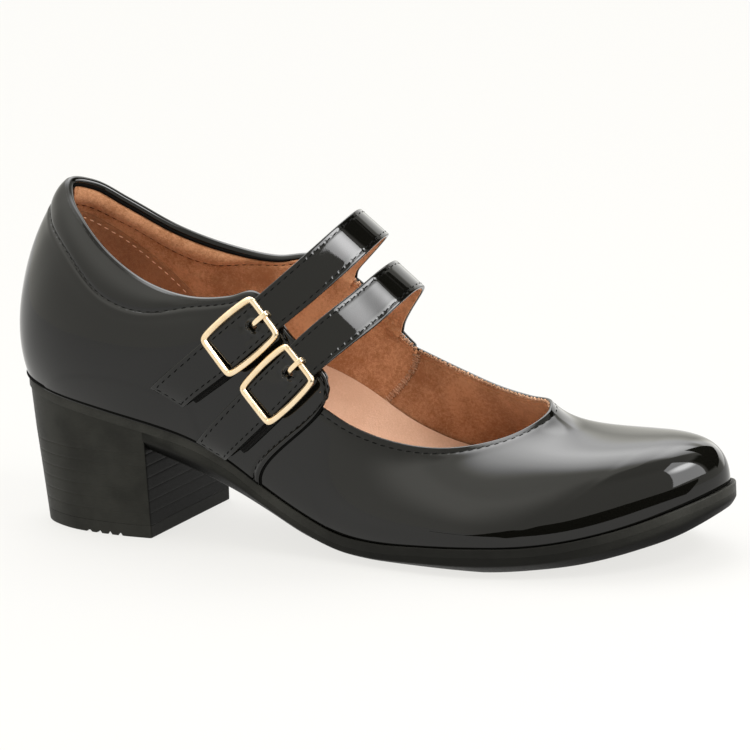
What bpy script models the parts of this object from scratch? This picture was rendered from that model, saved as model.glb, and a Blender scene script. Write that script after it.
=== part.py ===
"""Right-foot block heel pump with two buckled instep straps.

Every size in the tables is in millimetres. "Along" is measured forward from the back of the heel
seat, "side" is negative towards the outside of the foot, "height" is above the floor. The object
is placed in metres with its origin on the floor under the middle of the heel.
"""
import math

import bmesh
import bpy
import numpy as np
from mathutils import Matrix, Vector
from mathutils.bvhtree import BVHTree

MM = 0.001
GAP = 0.3                    # clearance that touching pieces keep
HEEL_MIDDLE = 32.0           # along: the origin, under the middle of the heel

# Sole, seen from the side: height of its top edge and of its tread, and how far inside the edge
# the tread starts.
PROFILE_COLUMNS = ("along", "top", "tread", "inset")
PROFILE = (
    (0.0, 50.3, 40.0, 4.7),
    (20.0, 46.8, 38.0, 4.7),
    (42.0, 42.9, 34.0, 4.7),
    (58.0, 39.4, 28.6, 4.7),
    (74.0, 34.9, 23.0, 4.7),
    (86.0, 29.2, 18.0, 4.7),
    (98.0, 21.6, 12.2, 4.8),
    (112.0, 14.4, 5.6, 5.2),
    (126.0, 9.3, 1.3, 5.8),
    (138.0, 8.2, 0.0, 6.2),
    (160.0, 9.0, 0.0, 6.4),
    (178.0, 9.9, 0.0, 6.2),
    (196.0, 10.9, 1.7, 5.4),
    (212.0, 13.3, 4.0, 4.4),
    (227.0, 16.9, 7.4, 3.6),
    (239.0, 20.9, 12.0, 3.0),
    (250.0, 24.8, 18.6, 2.6),
)
FLAT_FROM = 138.0            # the forefoot stands on the floor between these
FLAT_TO = 178.0

# Feather line: the plan outline where the upper meets the sole.
FEATHER_COLUMNS = ("mark", "along", "side")
FEATHER = (
    ("back", 1.8, 0.0),
    ("", 5.6, -12.5),
    ("", 18.0, -21.8),
    ("", 38.0, -26.8),
    ("", 66.0, -27.8),
    ("outer_seam", 96.0, -29.4),
    ("", 120.0, -33.6),
    ("", 148.0, -39.8),
    ("", 176.0, -42.3),
    ("", 203.0, -37.0),
    ("", 226.0, -25.2),
    ("", 241.0, -11.0),
    ("toe", 247.6, 3.0),
    ("", 241.7, 17.2),
    ("", 227.0, 29.8),
    ("", 203.0, 37.4),
    ("", 176.0, 39.2),
    ("", 148.0, 34.8),
    ("", 122.0, 27.6),
    ("inner_seam", 103.0, 24.2),
    ("", 80.0, 23.4),
    ("", 58.0, 25.2),
    ("", 36.0, 26.2),
    ("", 18.0, 21.8),
    ("", 5.6, 12.5),
)

# Topline of the quarter, from the inner seam round the heel to the outer seam.
TOPLINE_COLUMNS = ("mark", "along", "side", "height")
QUARTER_TOPLINE = (
    ("inner_seam", 129.4, 27.0, 58.4),
    ("", 126.6, 26.8, 61.0),
    ("", 119.4, 26.0, 69.6),
    ("", 112.2, 25.4, 77.6),
    ("", 104.4, 24.9, 83.0),
    ("", 96.0, 24.6, 86.8),
    ("", 82.0, 23.9, 85.9),
    ("", 66.0, 22.2, 88.9),
    ("", 49.2, 18.0, 95.6),
    ("", 34.1, 11.6, 105.2),
    ("", 24.0, 6.0, 111.9),
    ("back", 18.9, 0.0, 114.0),
    ("", 21.8, -7.0, 110.0),
    ("", 28.0, -12.6, 104.6),
    ("", 41.0, -19.3, 94.6),
    ("", 57.0, -23.3, 86.4),
    ("", 74.0, -25.5, 83.1),
    ("", 88.0, -26.1, 84.3),
    ("", 96.6, -25.8, 86.3),
    ("", 100.2, -26.0, 84.2),
    ("", 109.0, -28.0, 73.6),
    ("", 119.6, -30.3, 64.6),
    ("", 123.8, -31.0, 59.4),
    ("outer_seam", 122.6, -31.3, 54.6),
)

# Topline of the vamp, from the outer seam round the throat to the inner seam.
VAMP_TOPLINE = (
    ("outer_seam", 120.6, -31.0, 50.8),
    ("", 131.0, -31.0, 44.9),
    ("", 147.4, -29.0, 39.6),
    ("", 160.0, -25.5, 38.1),
    ("", 171.3, -19.0, 38.6),
    ("", 181.2, -10.5, 41.0),
    ("toe", 187.8, 1.0, 45.6),
    ("", 185.0, 9.0, 46.9),
    ("", 176.0, 14.6, 47.4),
    ("", 162.1, 20.5, 48.9),
    ("", 146.0, 25.0, 52.3),
    ("inner_seam", 131.4, 27.0, 57.0),
)

# Fullness of the last between feather line and topline. Station 0 is the back, 1 the outer seam,
# 2 the toe and 3 the inner seam. The lower handle goes out and up from the feather line, the
# upper one out and down from the topline.
FULLNESS_COLUMNS = ("station", "bulge", "rise", "reach", "drop")
FULLNESS = (
    (0.0, 5.6, 18.0, 18.0, 20.0),
    (0.35, 5.8, 17.0, 12.0, 18.0),
    (0.7, 3.8, 15.0, 4.0, 15.0),
    (1.0, 2.6, 11.0, 2.4, 10.0),
    (1.35, 3.0, 11.0, 3.4, 9.0),
    (1.7, 2.4, 14.0, 12.0, 7.0),
    (1.85, 1.2, 20.0, 18.0, 12.0),
    (2.0, 0.0, 27.0, 26.0, 20.0),
    (2.15, 0.4, 27.5, 12.0, 21.0),
    (2.3, 2.2, 16.0, 7.0, 14.0),
    (2.65, 3.4, 12.0, 3.0, 12.0),
    (3.0, 3.4, 14.0, 3.0, 13.0),
    (3.3, 3.8, 16.0, 3.5, 17.0),
    (3.65, 5.0, 16.0, 8.0, 19.0),
)
LOOP = 4.0
QUARTER_STATIONS = (3.0, 5.0)
VAMP_STATIONS = (1.0, 3.0)

WALL = 2.0                   # upper and its lining
QUARTER_OVERLAY = 1.0        # the quarter lies this much proud of the vamp
QUARTER_COLUMNS = 50
VAMP_COLUMNS = 38
WALL_ROWS = 11
EDGE_ROUND = 0.12            # the topline's edge stands this share of a row above the skin
FOOT_GAP = 0.5               # under the upper's foot, its facets being coarser than the sole's
TANGENT_STEP = 0.5           # spacing used to find which way the feather line runs

# Sole and heel.
SOLE_MARGIN = 0.8            # the sole's edge shows this far beyond the upper, and more at the toe
TOE_MARGIN = 1.6
TOE_MARGIN_FROM = 190.0
TOE_MARGIN_OVER = 55.0
SOLE_FROM = 2.2              # the outline's first and last paired points
SOLE_TO = 247.3
SOLE_POINTS = 44             # along each side
BAND_AT_HEEL = 3.4           # height of the raised band along the sole's edge
BAND_AT_TOE = 2.2
BAND_NARROWS_FROM = 100.0
BAND_NARROWS_OVER = 60.0
BAND_STEP = 0.7              # the sole's side sits this far inside the band
BODY_POINTS = 40
BODY_OVERLAP = 1.2           # the sole's body starts this far below the band's top
SIDE_BREAK = 0.55            # share of the side's height above which it stays upright
BREAST_ALONG = 56.8          # front face of the heel at the centre line
BREAST_SKEW = 0.094          # its lean towards the toe on the inner side
BREAST_OVERLAP = 6.0         # the sole's body starts this far behind it, and is cut there
HEEL_POINTS = 49
HEEL_HEIGHT = 46.0           # from the floor to the sole's band, at the back
HEEL_TAPER_SIDE = 1.8
HEEL_TAPER_BACK = 5.2
TOP_PIECE = 4.4              # thickness of the heel's top piece, the layer on the floor
NOTCHES = 4
NOTCH_WIDTH = 1.6
NOTCH_DEPTH = 1.4
NOTCH_LENGTH = 14.0
NOTCH_SIDE = -26.0
NOTCH_PITCH = 4.2
NOTCH_FIRST = 30.0

# Insole.
INSOLE_THICKNESS = 7.0
INSOLE_ARCH_RISE = 19.0      # how far its inner edge climbs the wall at the arch
INSOLE_ARCH_AT = 106.0
INSOLE_ARCH_SPREAD = 36.0
INSOLE_EDGE_RISE = 2.0
INSOLE_FROM = 7.0
INSOLE_TO = 236.0
INSOLE_SECTIONS = 42
INSOLE_LANES = 9             # points across the footbed, its two edges included
INSOLE_CLEARANCE = 0.6       # from the lining, measured at the nearest of the spots around
INSOLE_REACH = 3.0           # how far ahead and behind those spots lie
INSOLE_LEVELS = (0.3, 1.2)   # and how far above the insole's own points
INSOLE_SIDE_SHARES = (0.0, 0.4, 1.0)
TOE_CENTRE_SHIFT = 3.0       # the toe lies this far to the inner side

# Straps. Each row is a fold of the strap, with its rear and front edge. A row without a side lies
# on the quarter, lifted off it, and the last row is the root on the inner topline.
STRAP_THICKNESS = 2.0
STRAP_COLUMNS = ("rear_along", "rear_height", "front_along", "front_height", "side", "lift")
STRAPS = {
    "rear": (
        (60.1, 53.8, 71.8, 47.7, None, 0.3),
        (64.4, 57.3, 74.9, 50.2, None, 1.6),
        (79.0, 69.4, 87.4, 59.4, None, 1.6),
        (98.2, 85.0, 106.6, 75.2, None, 1.8),
        (106.2, 92.6, 114.6, 82.4, -23.0, 0.0),
        (112.8, 99.0, 121.4, 88.8, -13.0, 0.0),
        (117.4, 104.2, 126.4, 94.6, -2.0, 0.0),
        (119.2, 106.9, 128.6, 98.2, 8.0, 0.0),
        (117.0, 105.0, 126.8, 97.2, 14.6, 0.0),
        (108.4, 97.6, 118.4, 89.4, 20.4, 0.0),
    ),
    "front": (
        (74.8, 35.8, 86.0, 30.7, None, 0.3),
        (78.6, 39.4, 88.8, 32.9, None, 1.6),
        (92.2, 52.9, 100.8, 43.4, None, 1.6),
        (111.4, 70.8, 120.2, 61.6, None, 1.8),
        (118.6, 78.2, 127.6, 68.6, -24.0, 0.0),
        (125.2, 84.2, 134.4, 74.6, -13.0, 0.0),
        (129.4, 88.0, 138.6, 78.8, -2.0, 0.0),
        (131.2, 90.0, 140.6, 81.6, 8.0, 0.0),
        (129.0, 88.2, 138.8, 80.0, 14.6, 0.0),
        (121.0, 79.6, 132.4, 71.4, 20.8, 0.0),
    ),
}
STRAP_ROOTS = {"rear": (97.4, 110.6), "front": (115.0, 126.2)}   # along, on the inner topline
ROOT_GAP = 0.9               # the strap's root clears the topline's rounded edge
LEAVING = 6.0                # length over which the strap lifts off the quarter
STRAP_STEPS = 60
STRAP_LANES = 4
HOLE_RADIUS = 1.3
DRILL_DEPTH = 12.0
OUTSIDE = -100.0             # a side well clear of the shoe, from which the quarter is felt for

# Buckles, seen square on: X runs up the strap, Y across it.
BUCKLE_LENGTH = 23.0
BUCKLE_END_WIDTH = 14.6
BUCKLE_MIDDLE_WIDTH = 18.8
BUCKLE_CORNER = 2.6
FRAME_WIDTH = 2.3
FRAME_THICKNESS = 1.8
FRAME_BEVEL = 0.3
SEAT_REACH = 8.0             # the quarter's slope is felt this far from a buckle's middle
BUCKLES = {
    "rear": {"along": 93.6, "height": 72.9, "tilt": 39.8},
    "front": {"along": 106.7, "height": 57.8, "tilt": 43.3},
}
PRONG_RADIUS = 0.8
PRONG_REACH = 5.6            # from the bar back to the hole in the strap
PRONG_PATH = (               # middle line of the hook: from the bar, and above the frame's middle
    (-5.6, -1.5),
    (-4.8, 0.2),
    (-3.0, 1.7),
    (-1.2, 2.1),
    (1.2, 2.1),
    (2.4, 1.1),
    (2.5, -0.2),
)

ELASTIC_THICKNESS = 0.9
ELASTIC_LANES = (7.0, 3.5, 0.0, -1.5)   # inwards from the strap's lower edge, the last one shows
ELASTIC_STEPS = 10
ELASTIC_TO = 1.35            # its upper end, as a share of the third fold's distance


def column(rows, names, name):
    return np.array([row[names.index(name)] for row in rows], float)


def columns(rows, names, *wanted):
    return np.column_stack([column(rows, names, name) for name in wanted])


def spline(knots, values, at, period=0.0):
    """Curve through the values, each knot's slope taken from its two neighbours."""
    knots = np.asarray(knots, float)
    values = np.asarray(values, float).reshape(len(knots), -1)
    at = np.asarray(at, float)
    if period:
        at = knots[0] + (at - knots[0]) % period
        knots = np.concatenate([[knots[-1] - period], knots, knots[:2] + period])
        values = np.vstack([values[-1:], values, values[:2]])
    step = np.diff(knots)
    slope = np.diff(values, axis=0) / step[:, None]
    tangent = np.empty_like(values)
    tangent[0], tangent[-1] = slope[0], slope[-1]
    before, after = step[:-1, None], step[1:, None]
    tangent[1:-1] = (slope[:-1] * after + slope[1:] * before) / (before + after)
    i = np.clip(np.searchsorted(knots, at, side="right") - 1, 0, len(step) - 1)
    width = step[i][..., None]
    t = (at - knots[i])[..., None] / width
    return ((1 + 2 * t) * (1 - t) ** 2 * values[i] + t * (1 - t) ** 2 * width * tangent[i]
            + t * t * (3 - 2 * t) * values[i + 1] + t * t * (t - 1) * width * tangent[i + 1])


def chords(points):
    """Distance travelled along the rows of a table."""
    return np.concatenate([[0.0], np.cumsum(np.linalg.norm(np.diff(points, axis=0), axis=1))])


def sole_top(along):
    return spline(column(PROFILE, PROFILE_COLUMNS, "along"),
                  column(PROFILE, PROFILE_COLUMNS, "top"), along)[..., 0]


def sole_tread(along):
    height = spline(column(PROFILE, PROFILE_COLUMNS, "along"),
                    column(PROFILE, PROFILE_COLUMNS, "tread"), along)[..., 0]
    flat = (np.asarray(along) >= FLAT_FROM) & (np.asarray(along) <= FLAT_TO)
    return np.where(flat, 0.0, np.maximum(height, 0.0))


def feather_line(station):
    """Point of the feather line and its outward direction, both in plan."""
    plan = columns(FEATHER, FEATHER_COLUMNS, "along", "side")
    knots = chords(np.vstack([plan, plan[:1]]))
    marks = {row[0]: knots[i] for i, row in enumerate(FEATHER) if row[0]}
    stops = [marks["back"], marks["outer_seam"], marks["toe"], marks["inner_seam"], knots[-1]]
    at = np.interp(np.asarray(station) % LOOP, np.arange(5), stops)
    here = spline(knots[:-1], plan, at, period=knots[-1])
    ahead = spline(knots[:-1], plan, at + TANGENT_STEP, period=knots[-1])
    behind = spline(knots[:-1], plan, at - TANGENT_STEP, period=knots[-1])
    way = (ahead - behind) / np.linalg.norm(ahead - behind, axis=-1, keepdims=True)
    return here, np.stack([way[..., 1], -way[..., 0]], axis=-1)


def topline(table, stations, station):
    """Point of one topline, its three marks held at the first, middle and last station."""
    points = columns(table, TOPLINE_COLUMNS, "along", "side", "height")
    knots = chords(points)
    middle = next(i for i, row in enumerate(table) if row[0] and 0 < i < len(table) - 1)
    first, last = stations
    at = np.interp(station, (first, (first + last) / 2, last), (0.0, knots[middle], knots[-1]))
    return spline(knots, points, at)


def last_surface(table, stations, count):
    """Outer skin of one panel without its overlay, a rib at each of count stations, and its normals."""
    station = np.linspace(*stations, count)
    foot_plan, outward = feather_line(station)
    foot = np.column_stack([foot_plan, sole_top(foot_plan[:, 0]) + FOOT_GAP])
    top = topline(table, stations, station)
    bulge, rise, reach, drop = spline(column(FULLNESS, FULLNESS_COLUMNS, "station"),
                                      columns(FULLNESS, FULLNESS_COLUMNS, "bulge", "rise", "reach", "drop"),
                                      station, period=LOOP).T
    outward = np.column_stack([outward, np.zeros(count)])
    up = np.array([0.0, 0.0, 1.0])
    low = foot + outward * bulge[:, None] + up * rise[:, None]
    high = top + outward * reach[:, None] - up * drop[:, None]
    t = np.linspace(0.0, 1.0, WALL_ROWS + 1)[None, :, None]
    skin = ((1 - t) ** 3 * foot[:, None] + 3 * t * (1 - t) ** 2 * low[:, None]
            + 3 * t * t * (1 - t) * high[:, None] + t ** 3 * top[:, None])
    normal = np.cross(np.gradient(skin, axis=0), np.gradient(skin, axis=1))
    normal /= np.linalg.norm(normal, axis=-1, keepdims=True)
    return skin, normal


def place(points):
    """Table sizes in millimetres to metres in the object's own frame."""
    moved = np.array(points, float).reshape(-1, 3)
    moved[:, 0] -= HEEL_MIDDLE
    return moved * MM


def add_object(name, points, faces, group):
    mesh = bpy.data.meshes.new(name)
    mesh.from_pydata(place(points).tolist(), [], [tuple(int(i) for i in face) for face in faces])
    obj = bpy.data.objects.new(name, mesh)
    group.objects.link(obj)
    return obj


def ring_faces(rings, around, closed_rings=True, closed_around=True):
    """Quads between neighbouring rings of the same number of points."""
    faces = []
    for ring in range(rings if closed_rings else rings - 1):
        following = (ring + 1) % rings
        for i in range(around if closed_around else around - 1):
            j = (i + 1) % around
            faces.append((ring * around + i, following * around + i,
                          following * around + j, ring * around + j))
    return faces


def point_outwards(obj):
    mesh = bmesh.new()
    mesh.from_mesh(obj.data)
    bmesh.ops.recalc_face_normals(mesh, faces=mesh.faces)
    mesh.to_mesh(obj.data)
    mesh.free()


def smooth_shade(obj, degrees):
    obj.data.shade_smooth()
    obj.data.set_sharp_from_angle(angle=math.radians(degrees))


def boolean(obj, tool, operation):
    cut = obj.modifiers.new(operation.title(), "BOOLEAN")
    cut.operation = operation
    cut.solver = "EXACT"
    cut.object = tool
    tool.hide_render = True
    tool.display_type = "WIRE"


# ---------------------------------------------------------------- upper

def upper_section_points():
    """Closed wall sections all round: up the outside, over the topline, down the lining."""
    sections = []
    for table, stations, ribs, overlay in (
            (QUARTER_TOPLINE, QUARTER_STATIONS, QUARTER_COLUMNS, QUARTER_OVERLAY),
            (VAMP_TOPLINE, VAMP_STATIONS, VAMP_COLUMNS, 0.0)):
        skin, normal = last_surface(table, stations, ribs)
        outside = skin + normal * overlay
        lining = skin - normal * WALL
        edge = (outside[:, -1:] + lining[:, -1:]) / 2
        edge += (skin[:, -1:] - skin[:, -2:-1]) * EDGE_ROUND
        sections.append(np.concatenate([outside, edge, lining[:, ::-1]], axis=1))
    return np.concatenate(sections)


def make_upper(group):
    sections = upper_section_points()
    count, around = sections.shape[:2]
    upper = add_object("upper", sections.reshape(-1, 3), ring_faces(count, around), group)
    point_outwards(upper)
    smooth_shade(upper, 50)
    return upper


# ---------------------------------------------------------------- sole and heel

def edge_margin(along):
    share = np.clip((along - TOE_MARGIN_FROM) / TOE_MARGIN_OVER, 0, 1)
    return SOLE_MARGIN + (TOE_MARGIN - SOLE_MARGIN) * share ** 2


def paired_outline(first, last, count):
    """Outline points at the same distances along on the outer and on the inner side."""
    station = np.linspace(0.0, LOOP, 2001)[:-1]
    line, _ = feather_line(station)
    toe = int(np.argmax(line[:, 0]))
    swing = (1 - np.cos(np.linspace(0.0, math.pi, count))) / 2
    along = first + (last - first) * swing
    outer = np.interp(along, line[:toe + 1, 0], station[:toe + 1])
    inner = np.interp(along, line[toe:, 0][::-1], station[toe:][::-1])
    return outer, inner


def outline_ring(stations, inset, height):
    """Points of the outline moved inwards in plan, at a height worked out from each one."""
    line, outward = feather_line(stations)
    margin = edge_margin(line[:, 0])
    plan = line + outward * (margin - inset(line[:, 0]))[:, None]
    return np.column_stack([plan, height(line[:, 0])])


def slab(name, group, stations, rings):
    """Closed solid from outline rings, its two flat sides laddered across the foot."""
    around = len(stations)
    points = np.concatenate([outline_ring(stations, inset, height) for inset, height in rings])
    faces = ring_faces(len(rings), around, closed_rings=False)
    for ring in (0, len(rings) - 1):
        start = ring * around
        for i in range(around // 2 - 1):
            faces.append((start + i, start + i + 1, start + around - 2 - i, start + around - 1 - i))
    obj = add_object(name, points, faces, group)
    point_outwards(obj)
    return obj


def band_height(along):
    share = np.clip((along - BAND_NARROWS_FROM) / BAND_NARROWS_OVER, 0, 1)
    return BAND_AT_HEEL + (BAND_AT_TOE - BAND_AT_HEEL) * share


def tread_inset(along):
    return spline(column(PROFILE, PROFILE_COLUMNS, "along"),
                  column(PROFILE, PROFILE_COLUMNS, "inset"), along)[..., 0]


def make_outsole(group, tools):
    def band_bottom(along):
        return sole_top(along) - band_height(along)

    def side_break(along):
        return sole_tread(along) + (band_bottom(along) - sole_tread(along)) * SIDE_BREAK

    outer, inner = paired_outline(SOLE_FROM, SOLE_TO, SOLE_POINTS)
    outsole = slab("outsole", group, np.concatenate([outer, inner[::-1]]), (
        (np.zeros_like, sole_top),
        (np.zeros_like, band_bottom)))
    outer, inner = paired_outline(BREAST_ALONG - BREAST_OVERLAP, SOLE_TO, BODY_POINTS)
    body = slab("outsole_body", tools, np.concatenate([outer, inner[::-1]]), (
        (lambda along: np.full_like(along, BAND_STEP), lambda along: sole_top(along) - BODY_OVERLAP),
        (lambda along: np.full_like(along, BAND_STEP), side_break),
        (tread_inset, sole_tread)))
    breast = breast_block("outsole_breast_cut", tools, BREAST_ALONG + GAP)
    boolean(body, breast, "DIFFERENCE")
    boolean(outsole, body, "UNION")
    smooth_shade(outsole, 35)
    return outsole


def breast_block(name, tools, front):
    """Block behind the heel's skewed front face, used to cut the sole's body there."""
    size = 120.0
    bpy.ops.mesh.primitive_cube_add(size=size * MM)
    block = bpy.context.active_object
    block.name = name
    for vertex in block.data.vertices:
        vertex.co.x += (front - HEEL_MIDDLE - size / 2) * MM + BREAST_SKEW * vertex.co.y
    move_to(block, tools)
    return block


def heel_outline(share_up, count):
    """Heel section at a share of its height, from the breast's outer to its inner corner."""
    line = np.linspace(-1.0, 1.0, count)
    outer, inner = paired_outline(SOLE_FROM, BREAST_ALONG + BREAST_OVERLAP, 400)
    reach, _ = feather_line(outer)
    start = np.interp(BREAST_ALONG + BREAST_SKEW * reach[-1, 1], reach[:, 0], outer)
    reach, _ = feather_line(inner)
    end = np.interp(BREAST_ALONG + BREAST_SKEW * reach[-1, 1], reach[:, 0], inner) - LOOP
    station = np.where(line < 0, -line * start, line * end)
    plan, outward = feather_line(station)
    back = np.maximum(-outward[:, 0], 0.0) ** 2
    taper = (HEEL_TAPER_SIDE + (HEEL_TAPER_BACK - HEEL_TAPER_SIDE) * back) * (1 - share_up)
    section = plan + outward * (SOLE_MARGIN - taper)[:, None]
    for corner in (0, -1):
        section[corner, 0] = BREAST_ALONG + BREAST_SKEW * section[corner, 1]
    return section


def heel_solid(name, group, low, high):
    """Tapered heel between two heights, each a value or a function of the distance along."""
    points = []
    for height in (low, high):
        level = height if callable(height) else (lambda along, value=height: np.full_like(along, value))
        middle = float(np.mean(level(np.array([0.0, BREAST_ALONG]))))
        section = heel_outline(middle / HEEL_HEIGHT, HEEL_POINTS)
        points.append(np.column_stack([section, level(section[:, 0])]))
    around = HEEL_POINTS
    faces = ring_faces(2, around, closed_rings=False)
    for ring in (0, 1):
        start = ring * around
        for i in range(around // 2 - 1):
            faces.append((start + i, start + i + 1, start + around - 2 - i, start + around - 1 - i))
        faces.append((start + around // 2 - 1, start + around // 2, start + around // 2 + 1))
    heel = add_object(name, np.concatenate(points), faces, group)
    point_outwards(heel)
    smooth_shade(heel, 35)
    return heel


def make_heel(group, tools):
    block = heel_solid("heel_block", group, TOP_PIECE + GAP,
                       lambda along: sole_top(along) - BAND_AT_HEEL - GAP)
    piece = heel_solid("heel_top_piece", group, 0.0, TOP_PIECE)
    for i in range(NOTCHES):
        along = NOTCH_FIRST + i * NOTCH_PITCH
        size = np.array([NOTCH_WIDTH, NOTCH_LENGTH, 2 * NOTCH_DEPTH])
        bpy.ops.mesh.primitive_cube_add(size=1.0)
        cutter = bpy.context.active_object
        cutter.name = f"notch_cut_{i + 1}"
        centre = place((along, NOTCH_SIDE, 0.0))[0]
        cutter.data.transform(Matrix.Translation(centre) @ Matrix.Diagonal((*(size * MM), 1.0)))
        move_to(cutter, tools)
        boolean(piece, cutter, "DIFFERENCE")
    return block, piece


def move_to(obj, group):
    for owner in list(obj.users_collection):
        owner.objects.unlink(obj)
    group.objects.link(obj)


# ---------------------------------------------------------------- insole

class Wall:
    """The upper's faces, asked where a straight line meets them."""

    def __init__(self, upper):
        mesh = upper.data
        self.tree = BVHTree.FromPolygons([tuple(v.co) for v in mesh.vertices],
                                         [tuple(face.vertices) for face in mesh.polygons])

    def side(self, along, height, start, way):
        origin = Vector(place((along, start, height))[0])
        hit = self.tree.ray_cast(origin, Vector((0.0, way, 0.0)))[0]
        return hit.y / MM if hit else None


def insole_rise(along, inner):
    bump = math.exp(-((along - INSOLE_ARCH_AT) / INSOLE_ARCH_SPREAD) ** 2)
    return INSOLE_EDGE_RISE + (INSOLE_ARCH_RISE * bump if inner else 0.0)


def make_insole(group, wall):
    sections = []
    for along in np.linspace(INSOLE_FROM, INSOLE_TO, INSOLE_SECTIONS):
        floor = float(sole_top(along)) + FOOT_GAP
        middle = TOE_CENTRE_SHIFT * float(np.clip((along - FLAT_TO) / (INSOLE_TO - FLAT_TO), 0, 1))
        sides = {}
        for name, way in (("outer", -1.0), ("inner", 1.0)):
            rim = floor + INSOLE_THICKNESS + insole_rise(along, name == "inner")
            sides[name] = []
            for share in INSOLE_SIDE_SHARES:
                height = floor + (rim - floor) * share
                near = [wall.side(along + ahead, height + above, middle, way)
                        for ahead in (-INSOLE_REACH, 0.0, INSOLE_REACH) for above in INSOLE_LEVELS]
                side = min((spot for spot in near if spot is not None), key=abs)
                sides[name].append((along, side - way * INSOLE_CLEARANCE, height))
        (_, y0, z0), (_, y1, z1) = sides["outer"][-1], sides["inner"][-1]
        bed = floor + INSOLE_THICKNESS
        across = []
        for share in np.linspace(0.0, 1.0, INSOLE_LANES)[1:-1]:
            y = y0 + (y1 - y0) * share
            dish = (2 * share - 1) ** 4
            edge = z0 if share < 0.5 else z1
            across.append((along, y, bed + (edge - bed) * dish))
        sections.append(sides["outer"] + across + sides["inner"][::-1])
    points = np.array(sections)
    count, around = points.shape[:2]
    faces = ring_faces(count, around, closed_rings=False)
    faces += [tuple(range(around)), tuple(range((count - 1) * around, count * around))]
    insole = add_object("insole", points.reshape(-1, 3), faces, group)
    point_outwards(insole)
    smooth_shade(insole, 50)
    return insole


# ---------------------------------------------------------------- straps

def root_on_topline(along):
    """Middle of the wall's top edge on the inner side, at a distance along."""
    station = np.linspace(QUARTER_STATIONS[0], QUARTER_STATIONS[0] + 0.9, 400)
    line = topline(QUARTER_TOPLINE, QUARTER_STATIONS, station)
    order = np.argsort(line[:, 0])
    side = np.interp(along, line[order, 0], line[order, 1])
    height = np.interp(along, line[order, 0], line[order, 2])
    return np.array([along, side - (WALL - QUARTER_OVERLAY) / 2, height + ROOT_GAP])


def strap_edges(key, wall):
    """Rear and front edge of the strap's middle layer, a row for each fold."""
    rear, front = [], []
    for rear_along, rear_height, front_along, front_height, side, lift in STRAPS[key]:
        for edge, along, height in ((rear, rear_along, rear_height),
                                    (front, front_along, front_height)):
            across = side
            if side is None:
                across = wall.side(along, height, OUTSIDE, 1.0) - lift - STRAP_THICKNESS / 2
            edge.append((along, across, height))
    for edge, along in zip((rear, front), STRAP_ROOTS[key]):
        edge.append(tuple(root_on_topline(along)))
    return np.array(rear), np.array(front)


def strap_surface(key, wall, steps, lanes):
    """Middle layer of the strap: it lies on the quarter, then spans to the inner topline."""
    rear, front = strap_edges(key, wall)
    knots = chords((rear + front) / 2)
    at = np.linspace(0.0, knots[-1], steps + 1)
    rear_line, front_line = spline(knots, rear, at), spline(knots, front, at)
    across = np.linspace(0.0, 1.0, lanes + 1)[None, :, None]
    grid = rear_line[:, None] * (1 - across) + front_line[:, None] * across
    laid = sum(row[STRAP_COLUMNS.index("side")] is None for row in STRAPS[key])
    lift = spline(knots[:laid], [row[STRAP_COLUMNS.index("lift")] for row in STRAPS[key][:laid]],
                  np.minimum(at, knots[laid - 1]))[:, 0]
    leaves = knots[laid - 1]
    for i in np.nonzero(at < leaves)[0]:
        ease = min((leaves - at[i]) / LEAVING, 1.0)
        for lane in range(lanes + 1):
            along, across_foot, height = grid[i, lane]
            laid_side = wall.side(along, height, OUTSIDE, 1.0) - lift[i] - STRAP_THICKNESS / 2
            grid[i, lane, 1] = across_foot + (laid_side - across_foot) * ease
    ends = STRAP_ROOTS[key]
    ease = np.clip((at - knots[-2]) / (knots[-1] - knots[-2]), 0, 1)[:, None] ** 2
    for lane in range(1, lanes):
        root = root_on_topline(ends[0] + (ends[1] - ends[0]) * lane / lanes)
        grid[:, lane] += ease * (root - grid[-1, lane])
    return grid


def make_strap(key, group, tools, grid, frame):
    rows, lanes = grid.shape[:2]
    faces = ring_faces(rows, lanes, closed_rings=False, closed_around=False)
    strap = add_object(f"strap_{key}", grid.reshape(-1, 3), faces, group)
    thick = strap.modifiers.new("Thickness", "SOLIDIFY")
    thick.thickness = STRAP_THICKNESS * MM
    thick.offset = 0.0
    bpy.ops.mesh.primitive_cylinder_add(vertices=20, radius=HOLE_RADIUS * MM, depth=DRILL_DEPTH * MM)
    drill = bpy.context.active_object
    drill.name = f"strap_hole_{key}"
    hole_along = BUCKLE_LENGTH / 2 - FRAME_WIDTH / 2 - PRONG_REACH
    drill.data.transform(frame @ Matrix.Translation((hole_along * MM, 0, 0)))
    move_to(drill, tools)
    boolean(strap, drill, "DIFFERENCE")
    return strap


# ---------------------------------------------------------------- buckles and elastics

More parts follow.
